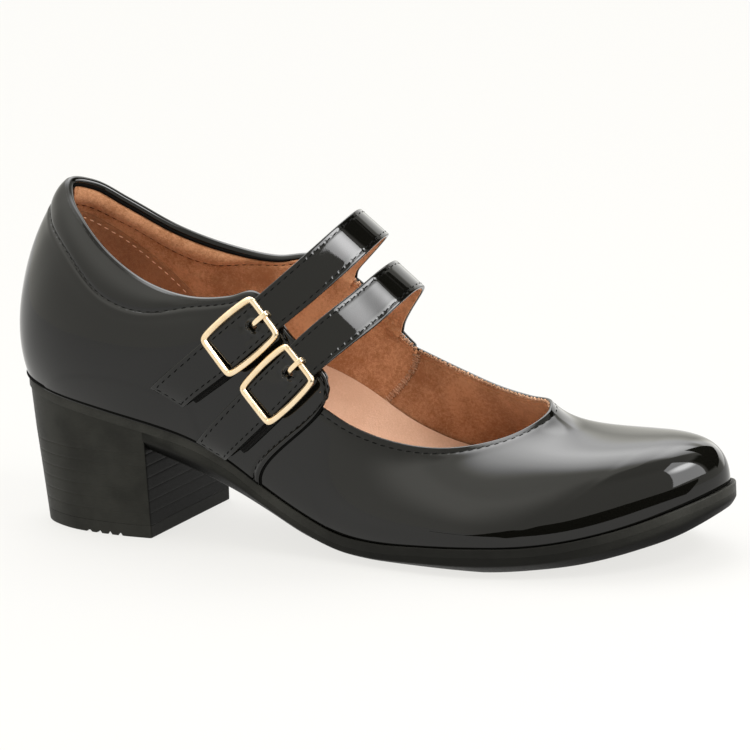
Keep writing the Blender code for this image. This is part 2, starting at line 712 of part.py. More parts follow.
def buckle_matrix(key, wall, grid):
    """Frame of a buckle: X up the strap, Z straight out, its two end bars resting on the strap."""
    spec = BUCKLES[key]
    tilt = math.radians(spec["tilt"])

    def on_wall(dx, dz):
        along, height = spec["along"] + dx, spec["height"] + dz
        return Vector((along, wall.side(along, height, OUTSIDE, 1.0), height))

    up_x, up_z = math.cos(tilt) * SEAT_REACH, math.sin(tilt) * SEAT_REACH
    spots = [on_wall(up_x, up_z), on_wall(-up_x, -up_z), on_wall(up_z, -up_x), on_wall(-up_z, up_x)]
    up_strap = (spots[0] - spots[1]).normalized()
    across = (spots[2] - spots[3]).normalized()
    out = across.cross(up_strap).normalized()
    if out.y > 0:
        out.negate()
    across = out.cross(up_strap).normalized()
    centre = sum(spots, Vector()) / len(spots)
    seat = OUTSIDE
    for spot in grid.reshape(-1, 3):
        reach = Vector(spot) - centre
        if BUCKLE_LENGTH / 2 - FRAME_WIDTH < abs(reach.dot(up_strap)) < BUCKLE_LENGTH / 2:
            seat = max(seat, reach.dot(out))
    centre += out * (seat + STRAP_THICKNESS / 2 + GAP + FRAME_THICKNESS / 2)
    turn = Matrix((up_strap, across, out)).transposed().to_4x4()
    return Matrix.Translation(Vector(place(centre)[0])) @ turn


def frame_outline(grow, count=9):
    """Barrel-shaped loop of the buckle, its ends straight and its sides bowed."""
    half = BUCKLE_LENGTH / 2 + grow
    end = BUCKLE_END_WIDTH / 2 + grow
    middle = BUCKLE_MIDDLE_WIDTH / 2 + grow
    corner = max(BUCKLE_CORNER + grow, 0.6)
    side = []
    for share in np.linspace(-1.0, 1.0, count):
        x = share * (half - corner)
        side.append((x, middle - (middle - end) * (x / half) ** 2))
    for step in (1, 2, 3):
        turn = math.radians(22.5 * step)
        side.append((half - corner + corner * math.sin(turn),
                     end - corner + corner * math.cos(turn)))
    corners = side[count:]
    far_side = [(x, -y) for x, y in side[::-1]]
    return side + far_side + [(-x, -y) for x, y in corners] + [(-x, y) for x, y in corners[::-1]]


def make_buckle(key, group, frame):
    curve = bpy.data.curves.new(f"buckle_{key}", "CURVE")
    curve.dimensions = "2D"
    curve.fill_mode = "BOTH"
    curve.extrude = (FRAME_THICKNESS / 2 - FRAME_BEVEL) * MM
    curve.bevel_depth = FRAME_BEVEL * MM
    curve.bevel_resolution = 0
    curve.offset = -FRAME_BEVEL * MM
    for grow in (0.0, -FRAME_WIDTH):
        outline = frame_outline(grow)
        spline_loop = curve.splines.new("POLY")
        spline_loop.points.add(len(outline) - 1)
        for point, (x, y) in zip(spline_loop.points, outline):
            point.co = (x * MM, y * MM, 0.0, 1.0)
        spline_loop.use_cyclic_u = True
    guide = bpy.data.objects.new(f"buckle_{key}_guide", curve)
    bpy.context.scene.collection.objects.link(guide)
    bpy.context.view_layer.update()
    mesh = bpy.data.meshes.new_from_object(guide.evaluated_get(bpy.context.evaluated_depsgraph_get()))
    bpy.data.objects.remove(guide)
    mesh.transform(frame)
    shape = bmesh.new()
    shape.from_mesh(mesh)
    bmesh.ops.remove_doubles(shape, verts=shape.verts, dist=0.00001)
    bmesh.ops.recalc_face_normals(shape, faces=shape.faces)
    shape.to_mesh(mesh)
    shape.free()
    buckle = bpy.data.objects.new(f"buckle_{key}", mesh)
    group.objects.link(buckle)
    smooth_shade(buckle, 30)
    return buckle


def make_prong(key, group, frame):
    bar = BUCKLE_LENGTH / 2 - FRAME_WIDTH / 2
    curve = bpy.data.curves.new(f"prong_{key}", "CURVE")
    curve.dimensions = "3D"
    curve.bevel_depth = PRONG_RADIUS * MM
    curve.bevel_resolution = 2
    curve.use_fill_caps = True
    strand = curve.splines.new("POLY")
    strand.points.add(len(PRONG_PATH) - 1)
    for point, (from_bar, above_frame) in zip(strand.points, PRONG_PATH):
        point.co = ((bar + from_bar) * MM, 0.0, above_frame * MM, 1.0)
    prong = bpy.data.objects.new(f"prong_{key}", curve)
    prong.matrix_world = frame
    group.objects.link(prong)
    return prong


def make_elastic(key, group, wall):
    """Elastic strip between the strap and the quarter, showing below the strap's lower edge."""
    rear, front = strap_edges(key, wall)
    knots = chords((rear + front) / 2)
    at = np.linspace(knots[1], knots[2] * ELASTIC_TO, ELASTIC_STEPS)
    rows = []
    for rear_point, front_point in zip(spline(knots, rear, at), spline(knots, front, at)):
        across = front_point - rear_point
        across /= np.linalg.norm(across)
        for reach in ELASTIC_LANES:
            spot = front_point - across * reach
            spot[1] = wall.side(spot[0], spot[2], OUTSIDE, 1.0) - GAP - ELASTIC_THICKNESS / 2
            rows.append(spot)
    faces = ring_faces(ELASTIC_STEPS, len(ELASTIC_LANES), closed_rings=False, closed_around=False)
    elastic = add_object(f"elastic_{key}", rows, faces, group)
    thick = elastic.modifiers.new("Thickness", "SOLIDIFY")
    thick.thickness = ELASTIC_THICKNESS * MM
    thick.offset = 0.0
    return elastic


# ---------------------------------------------------------------- finishes

FINISHES = {
    "patent": ((0.012, 0.012, 0.011), 0.12, 0.0),
    "sole_rubber": ((0.018, 0.018, 0.016), 0.42, 0.0),
    "heel_stack": ((0.022, 0.022, 0.020), 0.45, 0.0),
    "suede": ((0.62, 0.38, 0.25), 0.9, 0.0),
    "gold": ((0.86, 0.68, 0.42), 0.2, 1.0),
    "elastic": ((0.006, 0.006, 0.006), 0.85, 0.0),
}
FINISH_OF = {
    "upper": "patent", "strap": "patent", "outsole": "sole_rubber", "heel": "heel_stack",
    "insole": "suede", "buckle": "gold", "prong": "gold", "elastic": "elastic",
}


def finish(name):
    colour, roughness, metallic = FINISHES[name]
    material = bpy.data.materials.new(name)
    material.use_nodes = True
    shader = material.node_tree.nodes["Principled BSDF"]
    shader.inputs["Base Color"].default_value = (*colour, 1.0)
    shader.inputs["Roughness"].default_value = roughness
    shader.inputs["Metallic"].default_value = metallic
    return material


def main():
    for obj in list(bpy.data.objects):
        bpy.data.objects.remove(obj)
    group = bpy.data.collections.new("block_heel_pump")
    tools = bpy.data.collections.new("cutters")
    for collection in (group, tools):
        bpy.context.scene.collection.children.link(collection)
    upper = make_upper(group)
    wall = Wall(upper)
    make_outsole(group, tools)
    make_heel(group, tools)
    make_insole(group, wall)
    for key in STRAPS:
        grid = strap_surface(key, wall, STRAP_STEPS, STRAP_LANES)
        frame = buckle_matrix(key, wall, grid)
        make_strap(key, group, tools, grid, frame)
        make_buckle(key, group, frame)
        make_prong(key, group, frame)
        make_elastic(key, group, wall)
    materials = {name: finish(name) for name in FINISHES}
    for obj in group.objects:
        obj.data.materials.clear()
        obj.data.materials.append(materials[FINISH_OF[obj.name.split("_")[0]]])


main()
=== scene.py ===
import math

import bmesh
import bpy
import numpy as np
from mathutils import Matrix, Vector
from mathutils.bvhtree import BVHTree


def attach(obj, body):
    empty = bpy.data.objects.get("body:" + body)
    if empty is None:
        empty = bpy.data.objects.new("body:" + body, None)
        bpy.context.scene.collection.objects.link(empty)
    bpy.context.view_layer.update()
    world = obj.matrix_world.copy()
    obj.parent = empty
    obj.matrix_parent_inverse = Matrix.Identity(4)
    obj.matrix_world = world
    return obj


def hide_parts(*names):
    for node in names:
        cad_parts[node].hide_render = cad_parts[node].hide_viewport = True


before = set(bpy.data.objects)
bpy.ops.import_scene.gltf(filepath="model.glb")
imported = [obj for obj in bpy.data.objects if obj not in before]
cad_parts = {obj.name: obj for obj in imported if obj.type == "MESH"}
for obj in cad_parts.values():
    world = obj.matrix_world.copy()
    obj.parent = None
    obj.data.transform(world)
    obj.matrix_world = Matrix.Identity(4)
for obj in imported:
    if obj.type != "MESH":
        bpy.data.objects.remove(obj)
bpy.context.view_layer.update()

# Right-foot block heel pump with two buckled instep straps. Every size is in millimetres: "along"
# runs forward from the back of the heel seat, "side" is negative towards the outside of the foot.
mm = 0.001
heelMiddle = 32.0        # along: the origin, under the middle of the heel
stitchPitch = 2.85

lastShape = {
    # plan outline where the upper meets the sole: mark, along, side
    "feather": (
        ("back", 1.8, 0.0), ("", 5.6, -12.5), ("", 18.0, -21.8), ("", 38.0, -26.8),
        ("", 66.0, -27.8), ("outerSeam", 96.0, -29.4), ("", 120.0, -33.6), ("", 148.0, -39.8),
        ("", 176.0, -42.3), ("", 203.0, -37.0), ("", 226.0, -25.2), ("", 241.9, -11.0),
        ("toe", 248.7, 3.0), ("", 242.5, 17.2), ("", 227.0, 29.8), ("", 203.0, 37.4),
        ("", 176.0, 39.2), ("", 148.0, 34.8), ("", 122.0, 27.6), ("innerSeam", 103.0, 24.2),
        ("", 80.0, 23.4), ("", 58.0, 25.2), ("", 36.0, 26.2), ("", 18.0, 21.8), ("", 5.6, 12.5)),
    # topline of the quarter, from the inner seam round the heel: mark, along, side, height
    "quarterTopline": (
        ("innerSeam", 129.4, 27.0, 57.4), ("", 126.6, 26.8, 60.1), ("", 119.4, 26.0, 69.3),
        ("", 112.2, 25.4, 77.6), ("", 104.4, 24.9, 83.0), ("", 96.0, 24.6, 86.8),
        ("", 82.0, 23.9, 85.9), ("", 66.0, 22.2, 88.9), ("", 49.2, 18.0, 95.6),
        ("", 34.1, 11.6, 105.9), ("", 24.0, 6.0, 113.0), ("back", 18.9, 0.0, 114.9),
        ("", 21.8, -7.0, 110.0), ("", 28.0, -12.6, 104.6), ("", 41.0, -19.3, 94.6),
        ("", 57.0, -23.3, 86.4), ("", 74.0, -25.5, 83.1), ("", 88.0, -26.1, 84.3),
        ("", 96.6, -25.8, 86.3), ("", 100.2, -26.0, 84.2), ("", 109.0, -28.0, 73.6),
        ("", 119.6, -30.3, 64.6), ("", 123.8, -31.0, 59.4), ("outerSeam", 122.6, -31.3, 54.6)),
    # topline of the vamp, from the outer seam round the throat
    "vampTopline": (
        ("outerSeam", 120.6, -31.0, 50.8), ("", 131.0, -31.0, 44.9), ("", 147.4, -29.0, 39.6),
        ("", 160.0, -25.5, 38.1), ("", 171.3, -19.0, 38.6), ("", 181.2, -10.5, 41.0),
        ("toe", 187.8, 1.0, 45.6), ("", 185.0, 9.0, 46.9), ("", 176.0, 14.6, 46.3),
        ("", 162.1, 20.5, 47.3), ("", 146.0, 25.0, 51.2), ("innerSeam", 131.4, 27.0, 56.2)),
    # station, bulge and rise of the handle at the feather line, reach and drop of the upper one
    "fullness": (
        (0.0, 5.6, 18.0, 18.0, 20.0), (0.35, 5.8, 17.0, 12.0, 18.0), (0.7, 3.8, 15.0, 4.0, 15.0),
        (1.0, 2.6, 11.0, 2.4, 10.0), (1.35, 3.0, 11.0, 3.4, 9.0), (1.7, 2.4, 14.0, 12.0, 7.0),
        (1.85, 2.0, 20.7, 20.5, 8.2), (2.0, 0.0, 29.0, 20.9, 17.6), (2.15, 0.0, 27.0, 15.0, 19.6),
        (2.3, 1.4, 20.0, 9.6, 17.0), (2.48, 2.6, 14.6, 5.4, 14.4), (2.65, 3.4, 12.4, 3.2, 12.4),
        (3.0, 3.4, 14.0, 3.0, 13.0), (3.3, 3.8, 16.0, 3.5, 17.0), (3.65, 5.0, 16.0, 8.0, 19.0)),
    # sole from the side: along, its top edge, its tread, how far inside the edge the tread starts
    "soleProfile": (
        (0.0, 50.3, 40.0, 4.7), (20.0, 46.8, 38.0, 4.7), (42.0, 42.9, 34.0, 4.7),
        (58.0, 39.4, 28.6, 4.7), (74.0, 34.9, 23.0, 4.7), (86.0, 29.2, 18.0, 4.7),
        (98.0, 21.6, 12.2, 4.8), (112.0, 14.4, 5.6, 5.2), (126.0, 9.3, 1.3, 7.2),
        (138.0, 8.2, 0.0, 8.8), (160.0, 9.0, 0.0, 9.2), (178.0, 9.9, 0.0, 8.8),
        (196.0, 10.9, 1.7, 6.6), (212.0, 13.3, 4.0, 4.4), (227.0, 16.9, 7.4, 3.6),
        (239.0, 20.9, 11.4, 2.6), (250.0, 24.8, 17.4, 2.0)),
    "flatFrom": 138.0, "flatTo": 178.0,      # the forefoot stands on the floor between these
    "loop": 4.0,                             # stations once round: back 0, outer seam 1, toe 2
    "stationLength": 122.0, "ribPace": 118.0, "ribs": 901,
    "footGap": 0.25,
}


def spline(knots, values, at, period=0.0):
    # curve through the values, each knot's slope taken from its two neighbours
    knots = np.asarray(knots, float)
    values = np.asarray(values, float).reshape(len(knots), -1)
    at = np.asarray(at, float)
    if period:
        at = knots[0] + (at - knots[0]) % period
        knots = np.concatenate([[knots[-1] - period], knots, knots[:2] + period])
        values = np.vstack([values[-1:], values, values[:2]])
    step = np.diff(knots)
    slope = np.diff(values, axis=0) / step[:, None]
    tangent = np.empty_like(values)
    tangent[0], tangent[-1] = slope[0], slope[-1]
    before, after = step[:-1, None], step[1:, None]
    tangent[1:-1] = (slope[:-1] * after + slope[1:] * before) / (before + after)
    i = np.clip(np.searchsorted(knots, at, side="right") - 1, 0, len(step) - 1)
    width = step[i][..., None]
    t = (at - knots[i])[..., None] / width
    return ((1 + 2 * t) * (1 - t) ** 2 * values[i] + t * (1 - t) ** 2 * width * tangent[i]
            + t * t * (3 - 2 * t) * values[i + 1] + t * t * (t - 1) * width * tangent[i + 1])


def chords(points):
    # distance travelled along the points
    return np.concatenate([[0.0], np.cumsum(np.linalg.norm(np.diff(points, axis=0), axis=1))])


def unit(vectors):
    return vectors / np.maximum(np.linalg.norm(vectors, axis=-1, keepdims=True), 1e-9)


def ease(low, high, value):
    # 0 below low, 1 above high, with a soft turn between
    share = np.clip((np.asarray(value, float) - low) / (high - low), 0, 1)
    return share * share * (3 - 2 * share)


def hump(value, middle, width):
    return np.exp(-((np.asarray(value, float) - middle) / width) ** 2)


def soften(rows, reach):
    # rolling average along the first axis; reach is in rows, and the two ends stay where they are
    reach = float(reach)
    if reach < 0.3:
        return rows
    half = min(int(3 * reach) + 1, len(rows) - 1)
    weight = np.exp(-0.5 * (np.arange(-half, half + 1) / reach) ** 2)
    weight /= weight.sum()
    before = 2 * rows[:1] - rows[half:0:-1]
    after = 2 * rows[-1:] - rows[-2:-half - 2:-1]
    padded = np.concatenate([before, rows, after])
    return sum(w * padded[i:i + len(rows)] for i, w in enumerate(weight))


def softLoop(points, reach, ends):
    # the same on a closed line, with some points from each end carried round
    return soften(np.concatenate([points[-ends:], points, points[:ends]]), reach)[ends:-ends]


def between(at, knots, values):
    # straight lines from value to value
    return np.column_stack([np.interp(at, knots, column) for column in np.asarray(values).T])


def profileValue(name, along):
    rows = np.array(lastShape["soleProfile"])
    return spline(rows[:, 0], rows[:, ("along", "top", "tread", "inset").index(name)], along)[..., 0]


def soleTop(along):
    return profileValue("top", along)


def soleTread(along):
    along = np.asarray(along, float)
    flat = (along >= lastShape["flatFrom"]) & (along <= lastShape["flatTo"])
    return np.where(flat, 0.0, np.maximum(profileValue("tread", along), 0.0))


def featherLine(station):
    # point of the feather line and its outward direction, both in plan
    rows = lastShape["feather"]
    plan = np.array([row[1:] for row in rows])
    knots = chords(np.vstack([plan, plan[:1]]))
    marks = {row[0]: knots[i] for i, row in enumerate(rows) if row[0]}
    stops = [marks["back"], marks["outerSeam"], marks["toe"], marks["innerSeam"], knots[-1]]
    at = np.interp(np.asarray(station) % lastShape["loop"], np.arange(5), stops)
    here, ahead, behind = (spline(knots[:-1], plan, at + move, period=knots[-1])
                           for move in (0.0, 0.5, -0.5))
    way = unit(ahead - behind)
    return here, np.stack([way[..., 1], -way[..., 0]], axis=-1)


def topline(rows, stations, station):
    # point of one topline; its three marks lie at the first, middle and last station
    points = np.array([row[1:] for row in rows])
    knots = chords(points)
    middle = next(i for i, row in enumerate(rows) if row[0] and 0 < i < len(rows) - 1)
    first, last = stations
    station = np.asarray(station, float)
    at = np.interp(station, (first, (first + last) / 2, last), (0.0, knots[middle], knots[-1]))
    slack = np.minimum(station - first, 0) + np.maximum(station - last, 0)
    pace = knots[-1] / (last - first)
    return spline(knots, points, at + slack * pace)


class Panel:
    # one panel of the last: smooth ribs from the feather line up to its topline
    def __init__(self, rows, stations, spare, toplineSoften, lastSoften, handleSoften):
        first, last = stations
        self.grid = np.linspace(first - spare, last + spare, lastShape["ribs"])
        pace = (self.grid[1] - self.grid[0]) * lastShape["ribPace"]
        plan, outward = featherLine(self.grid)
        foot = np.column_stack([plan, soleTop(plan[:, 0]) + lastShape["footGap"]])
        full = np.array(lastShape["fullness"])
        bulge, rise, reach, drop = spline(full[:, 0], full[:, 1:], self.grid, period=lastShape["loop"]).T
        lowHandle = np.column_stack([outward * bulge[:, None], rise])
        highHandle = np.column_stack([outward * reach[:, None], -drop])
        self.foot = soften(foot, lastSoften / pace)
        self.low = self.foot + soften(lowHandle, handleSoften / pace)
        self.top = soften(topline(rows, stations, self.grid), toplineSoften / pace)
        self.high = self.top + soften(highHandle, handleSoften / pace)

    def skin(self, station, t):
        # points at stations and at shares of the rib, from 0 at the feather line to 1 at the topline
        station = np.clip(station, self.grid[0], self.grid[-1])
        foot, low, high, top = (spline(self.grid, curve, station)
                                for curve in (self.foot, self.low, self.high, self.top))
        t = np.asarray(t, float)[..., None]
        return ((1 - t) ** 3 * foot + 3 * t * (1 - t) ** 2 * low
                + 3 * t * t * (1 - t) * high + t ** 3 * top)

    def frame(self, station, t, step=0.004):
        # point, outward normal and upward direction
        point = self.skin(station, t)
        around = self.skin(station + step, t) - self.skin(station - step, t)
        up = self.skin(station, np.clip(t + step, 0, 1)) - self.skin(station, np.clip(t - step, 0, 1))
        return point, unit(np.cross(around, up)), unit(up)

    def ribLengths(self, station):
        # share along the rib against depth below the topline, for each station
        t = np.linspace(0.0, 1.0, 161)
        ribs = self.skin(np.asarray(station)[:, None], t[None, :])
        steps = np.linalg.norm(np.diff(ribs, axis=1), axis=2)
        fromTop = np.cumsum(steps[:, ::-1], axis=1)[:, ::-1]
        return t, np.column_stack([fromTop, np.zeros(len(ribs))])

    def total(self, station):
        return self.ribLengths(np.atleast_1d(station))[1][:, 0]

    def atDepth(self, station, depth):
        # one station for each rib, and a row of depths for each
        t, fromTop = self.ribLengths(station)
        share = np.array([np.interp(-row, -lengths, t) for row, lengths in zip(depth, fromTop)])
        return self.frame(np.asarray(station)[:, None] + 0 * depth, share)


def toObject(points):
    # table sizes in millimetres to metres in the object's own frame
    moved = np.array(points, float).reshape(-1, 3)
    moved[:, 0] -= heelMiddle
    return moved * mm


def layGrid(mesh, points):
    # rows and columns of points: the grid is made flat first, then every corner is placed
    rows, columns = points.shape[:2]
    first = len(mesh.verts)
    bmesh.ops.create_grid(mesh, x_segments=columns - 1, y_segments=rows - 1, size=1.0)
    mesh.verts.ensure_lookup_table()
    for vertex, place in zip(mesh.verts[first:], toObject(points)):
        vertex.co = place


def gridPiece(name, points, material, inwards=False, weld=True, away=None, layers=None):
    # its faces are turned outwards, seen from the point "away" or else from its middle
    mesh = bmesh.new()
    extra = {key: mesh.verts.layers.float.new(key) for key in (layers or {})}
    layGrid(mesh, points)
    for key, layer in extra.items():
        for vertex, value in zip(mesh.verts, np.asarray(layers[key], float).ravel()):
            vertex[layer] = value
    if weld:
        bmesh.ops.remove_doubles(mesh, verts=mesh.verts, dist=0.000002)
        bmesh.ops.dissolve_degenerate(mesh, dist=0.000001, edges=mesh.edges)
    if away is None:
        middle = sum((vertex.co for vertex in mesh.verts), Vector()) / len(mesh.verts)
    else:
        middle = Vector(toObject(away)[0])
    mesh.normal_update()
    facing = sum(face.normal.dot(face.calc_center_median() - middle) * face.calc_area()
                 for face in mesh.faces)
    if (facing < 0) != inwards:
        bmesh.ops.reverse_faces(mesh, faces=mesh.faces)
    return finishPiece(name, mesh, material)


def finishPiece(name, mesh, material, smooth=60):
    data = bpy.data.meshes.new(name)
    mesh.to_mesh(data)
    mesh.free()
    data.shade_smooth()
    data.set_sharp_from_angle(angle=math.radians(smooth))
    piece = bpy.data.objects.new(name, data)
    bpy.context.scene.collection.objects.link(piece)
    data.materials.append(material)
    return piece


def wear(piece, slot, *nodes):
    # every piece moves with the shoe's one body, and stands for the solids named
    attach(piece, "root")
    if nodes:
        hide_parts(*nodes)


def newFinish(name, sockets):
    material = bpy.data.materials.new(name)
    material.use_nodes = True
    tree = material.node_tree
    shader = tree.nodes["Principled BSDF"]
    for socket, value in sockets.items():
        shader.inputs[socket].default_value = value
    return material, tree, shader


def addNode(tree, kind, settings=None, **inputs):
    # an input is named i0, i1 and so on, or as its socket is
    node = tree.nodes.new(kind)
    for key, value in (settings or {}).items():
        setattr(node, key, value)
    for key, value in inputs.items():
        numbered = key[0] == "i" and key[1:].isdigit()
        plug(tree, value, node.inputs[int(key[1:]) if numbered else key.replace("_", " ")])
    return node


def plug(tree, value, socket):
    if isinstance(value, bpy.types.NodeSocket):
        tree.links.new(value, socket)
    else:
        socket.default_value = value


def dress(tree, shader, colour, normal, roughness=None):
    plug(tree, colour, shader.inputs["Base Color"])
    plug(tree, normal, shader.inputs["Normal"])
    if roughness is not None:
        plug(tree, roughness, shader.inputs["Roughness"])


def calc(tree, operation, a, b=0.0, c=0.0):
    return addNode(tree, "ShaderNodeMath", {"operation": operation}, i0=a, i1=b, i2=c).outputs[0]


def times(tree, a, b):
    return calc(tree, "MULTIPLY", a, b)


def plus(tree, a, b):
    return calc(tree, "ADD", a, b)


def spread(tree, value, low, high, toLow=0.0, toHigh=1.0, smooth=True):
    kind = "SMOOTHSTEP" if smooth else "LINEAR"
    return addNode(tree, "ShaderNodeMapRange", {"interpolation_type": kind}, Value=value, From_Min=low,
                   From_Max=high, To_Min=toLow, To_Max=toHigh).outputs[0]


def noise(tree, scale, detail=2.0, roughness=0.5, stretch=None):
    # scale is in grains per metre
    place = addNode(tree, "ShaderNodeTexCoord").outputs["Object"]
    if stretch:
        place = addNode(tree, "ShaderNodeMapping", None, Vector=place, Scale=stretch).outputs[0]
    return addNode(tree, "ShaderNodeTexNoise", None, Vector=place, Scale=scale, Detail=detail,
                   Roughness=roughness).outputs["Fac"]


def attribute(tree, name):
    return addNode(tree, "ShaderNodeAttribute", {"attribute_name": name}).outputs["Fac"]


def blendColour(tree, share, first, second):
    if isinstance(first, tuple):
        first = (*first, 1.0)
    node = addNode(tree, "ShaderNodeMix", {"data_type": "RGBA"}, i0=share, i6=first, i7=(*second, 1.0))
    return node.outputs[2]


def colourBetween(tree, value, low, high, first, second):
    return blendColour(tree, spread(tree, value, low, high), first, second)


def bump(tree, height, distance, normal=None):
    node = addNode(tree, "ShaderNodeBump", None, Height=height, Distance=distance)
    if normal is not None:
        tree.links.new(normal, node.inputs["Normal"])
    return node.outputs[0]


patentLook = {
    "colour": (0.0032, 0.0031, 0.0024), "holeShade": (0.0008, 0.0008, 0.0008), "roughness": (0.020, 0.050),
    "ripple": 0.000025, "grain": 0.0000012, "pucker": 0.000006, "hole": 0.000025,      # depths in metres
}


def makePatent(name):
    material, tree, shader = newFinish(name, {"Specular IOR Level": 0.42})
    cloud = noise(tree, 70, 3)
    fine = noise(tree, 2600, 2)
    gloss = spread(tree, calc(tree, "MULTIPLY_ADD", fine, 0.35, cloud), 0.45, 0.95, *patentLook["roughness"])
    # it puckers along a row of stitches and dips at each one
    along, aside = attribute(tree, "stitchAlong"), attribute(tree, "stitchAside")
    near = spread(tree, calc(tree, "ABSOLUTE", aside), 0.5, 2.4, 1.0, 0.0)
    crease = times(tree, noise(tree, 520, 3, 0.6), near)
    step = calc(tree, "SUBTRACT", calc(tree, "FRACT", calc(tree, "DIVIDE", along, stitchPitch)), 0.5)
    reach = times(tree, step, stitchPitch)
    far = calc(tree, "SQRT", plus(tree, times(tree, reach, reach),
                                  times(tree, aside, aside)))
    surface = bump(tree, noise(tree, 95, 2), patentLook["ripple"])
    surface = bump(tree, fine, patentLook["grain"], surface)
    surface = bump(tree, crease, patentLook["pucker"], surface)
    surface = bump(tree, spread(tree, far, 0.15, 0.75), patentLook["hole"], surface)
    # painted shade: each needle hole is coloured darker than the patent round it
    holeShadeMask = spread(tree, far, 0.1, 0.5, 1.0, 0.0)
    colour = blendColour(tree, holeShadeMask, patentLook["colour"], patentLook["holeShade"])
    dress(tree, shader, colour, surface, gloss)
    return material


def makeSuede(name, lit, deep, grain=900, nap=1.0):
    material, tree, shader = newFinish(name, {
        "Roughness": 0.92, "Specular IOR Level": 0.2, "Sheen Weight": 0.35 * nap, "Sheen Roughness": 0.6,
        "Sheen Tint": (1.0, 0.72, 0.5, 1.0)})
    napDepth = 0.00018 * nap
    patches = noise(tree, 60, 3, 0.6)
    fibres = noise(tree, grain, 4, 0.7)
    speck = noise(tree, grain * 3.2, 2, 0.6)
    share = plus(tree, times(tree, patches, 0.45),
                 plus(tree, times(tree, fibres, 0.35), times(tree, speck, 0.2)))
    surface = bump(tree, speck, 0.4 * napDepth, bump(tree, fibres, napDepth))
    dress(tree, shader, colourBetween(tree, share, 0.38, 0.62, deep, lit), surface)
    return material


def makeRubber(name, colour, roughness=0.42, grain=1800, stretch=None, lift=0.00002, shaded=None):
    # "shaded" names the attribute that says where the piece lies in its own shade, which is painted into its
    # colour
    material, tree, shader = newFinish(name, {"Specular IOR Level": 0.08})
    cloud = noise(tree, 90, 3)
    fine = noise(tree, grain, 3, 0.6, stretch)
    paler, paintedShadeColour = (tuple(value * part for value in colour) for part in (1.6, 0.14))
    shade = colourBetween(tree, calc(tree, "MULTIPLY_ADD", fine, 0.5, cloud), 0.5, 1.0, colour, paler)
    # painted shade: where the named attribute is high, the colour darkens to 0.14 of itself
    if shaded:
        shade = blendColour(tree, attribute(tree, shaded), shade, paintedShadeColour)
    dress(tree, shader, shade, bump(tree, fine, lift, bump(tree, cloud, 0.00006)),
          spread(tree, fine, 0.3, 0.7, roughness - 0.06, roughness + 0.08))
    return material


def makeGold(name):
    material, tree, shader = newFinish(name, {"Metallic": 1.0})
    cloud = noise(tree, 260, 2)
    fine = noise(tree, 5200, 2, 0.6, (1.0, 1.0, 0.25))
    dress(tree, shader, colourBetween(tree, cloud, 0.3, 0.7, (0.93, 0.72, 0.46), (0.98, 0.80, 0.56)),
          bump(tree, fine, 0.000002), spread(tree, fine, 0.3, 0.7, 0.17, 0.26))
    return material


def makeWebbing(name):
    material, tree, shader = newFinish(name, {"Roughness": 0.85, "Specular IOR Level": 0.2})
    ribs = calc(tree, "SINE", times(tree, attribute(tree, "webAlong"), 9.0))
    cords = calc(tree, "SINE", times(tree, attribute(tree, "webAcross"), 7.0))
    weave = times(tree, plus(tree, ribs, 1.0), plus(tree, cords, 1.6))
    colour = colourBetween(tree, weave, 0.4, 4.0, (0.003, 0.003, 0.003), (0.012, 0.012, 0.011))
    dress(tree, shader, colour, bump(tree, weave, 0.00008))
    return material


def makeThread(name, colour):
    material, tree, shader = newFinish(name, {"Roughness": 0.7, "Specular IOR Level": 0.1})
    twist = noise(tree, 4200, 2)
    paler = tuple(min(value * 1.5 + 0.001, 1.0) for value in colour)
    dress(tree, shader, colourBetween(tree, twist, 0.35, 0.65, colour, paler), bump(tree, twist, 0.00005))
    return material


finishes = {
    "patent": makePatent("blackPatentStitched"),
    "lining": makeSuede("tanLining", (0.575, 0.290, 0.152), (0.305, 0.122, 0.049)),
    # painted shade: the vamp's lining is a darker copy of the tan suede, for the shade inside the toe
    "vampLining": makeSuede("tanLiningShadedCopy", (0.475, 0.240, 0.125), (0.250, 0.100, 0.040)),
    "grip": makeSuede("heelGripSuede", (0.34, 0.155, 0.074), (0.22, 0.09, 0.040)),
    "nap": makeSuede("cutNap", (0.66, 0.40, 0.26), (0.26, 0.12, 0.06), 1500, 1.4),
    "footbed": makeSuede("footbedLeather", (0.71, 0.475, 0.345), (0.61, 0.385, 0.268), 1500, 0.5),
    # painted light: the band is coloured paler than the rest of the sole, for the light on the sole's upper
    # side
    "band": makeRubber("soleBand", (0.0240, 0.0238, 0.0210), shaded="tread"),
    "sole": makeRubber("soleRubber", (0.0175, 0.0174, 0.0152), 0.45, shaded="tread"),
    "heel": makeRubber("stackedHeel", (0.0175, 0.0174, 0.0150), 0.4, 700, (1.0, 1.0, 9.0), 0.00003,
                       "breast"),
    "shadeBead": makeRubber("paintedShadeBlack", (0.0014, 0.0014, 0.0012), 0.8),
    "gold": makeGold("paleGold"),
    "webbing": makeWebbing("elasticWebbing"),
    "blackThread": makeThread("blackThread", (0.0012, 0.0012, 0.0010)),
    "tanThread": makeThread("tanThread", (0.66, 0.42, 0.27)),
}
print("finishes ready")


# upper: quarter and vamp, each a leather skin rolled over its topline
quarterPanel = Panel(lastShape["quarterTopline"], (3.0, 5.0), 0.03, 0.9, 4.0, 4.0)
vampPanel = Panel(lastShape["vampTopline"], (1.0, 3.0), 0.04, 1.6, 4.0, 9.0)

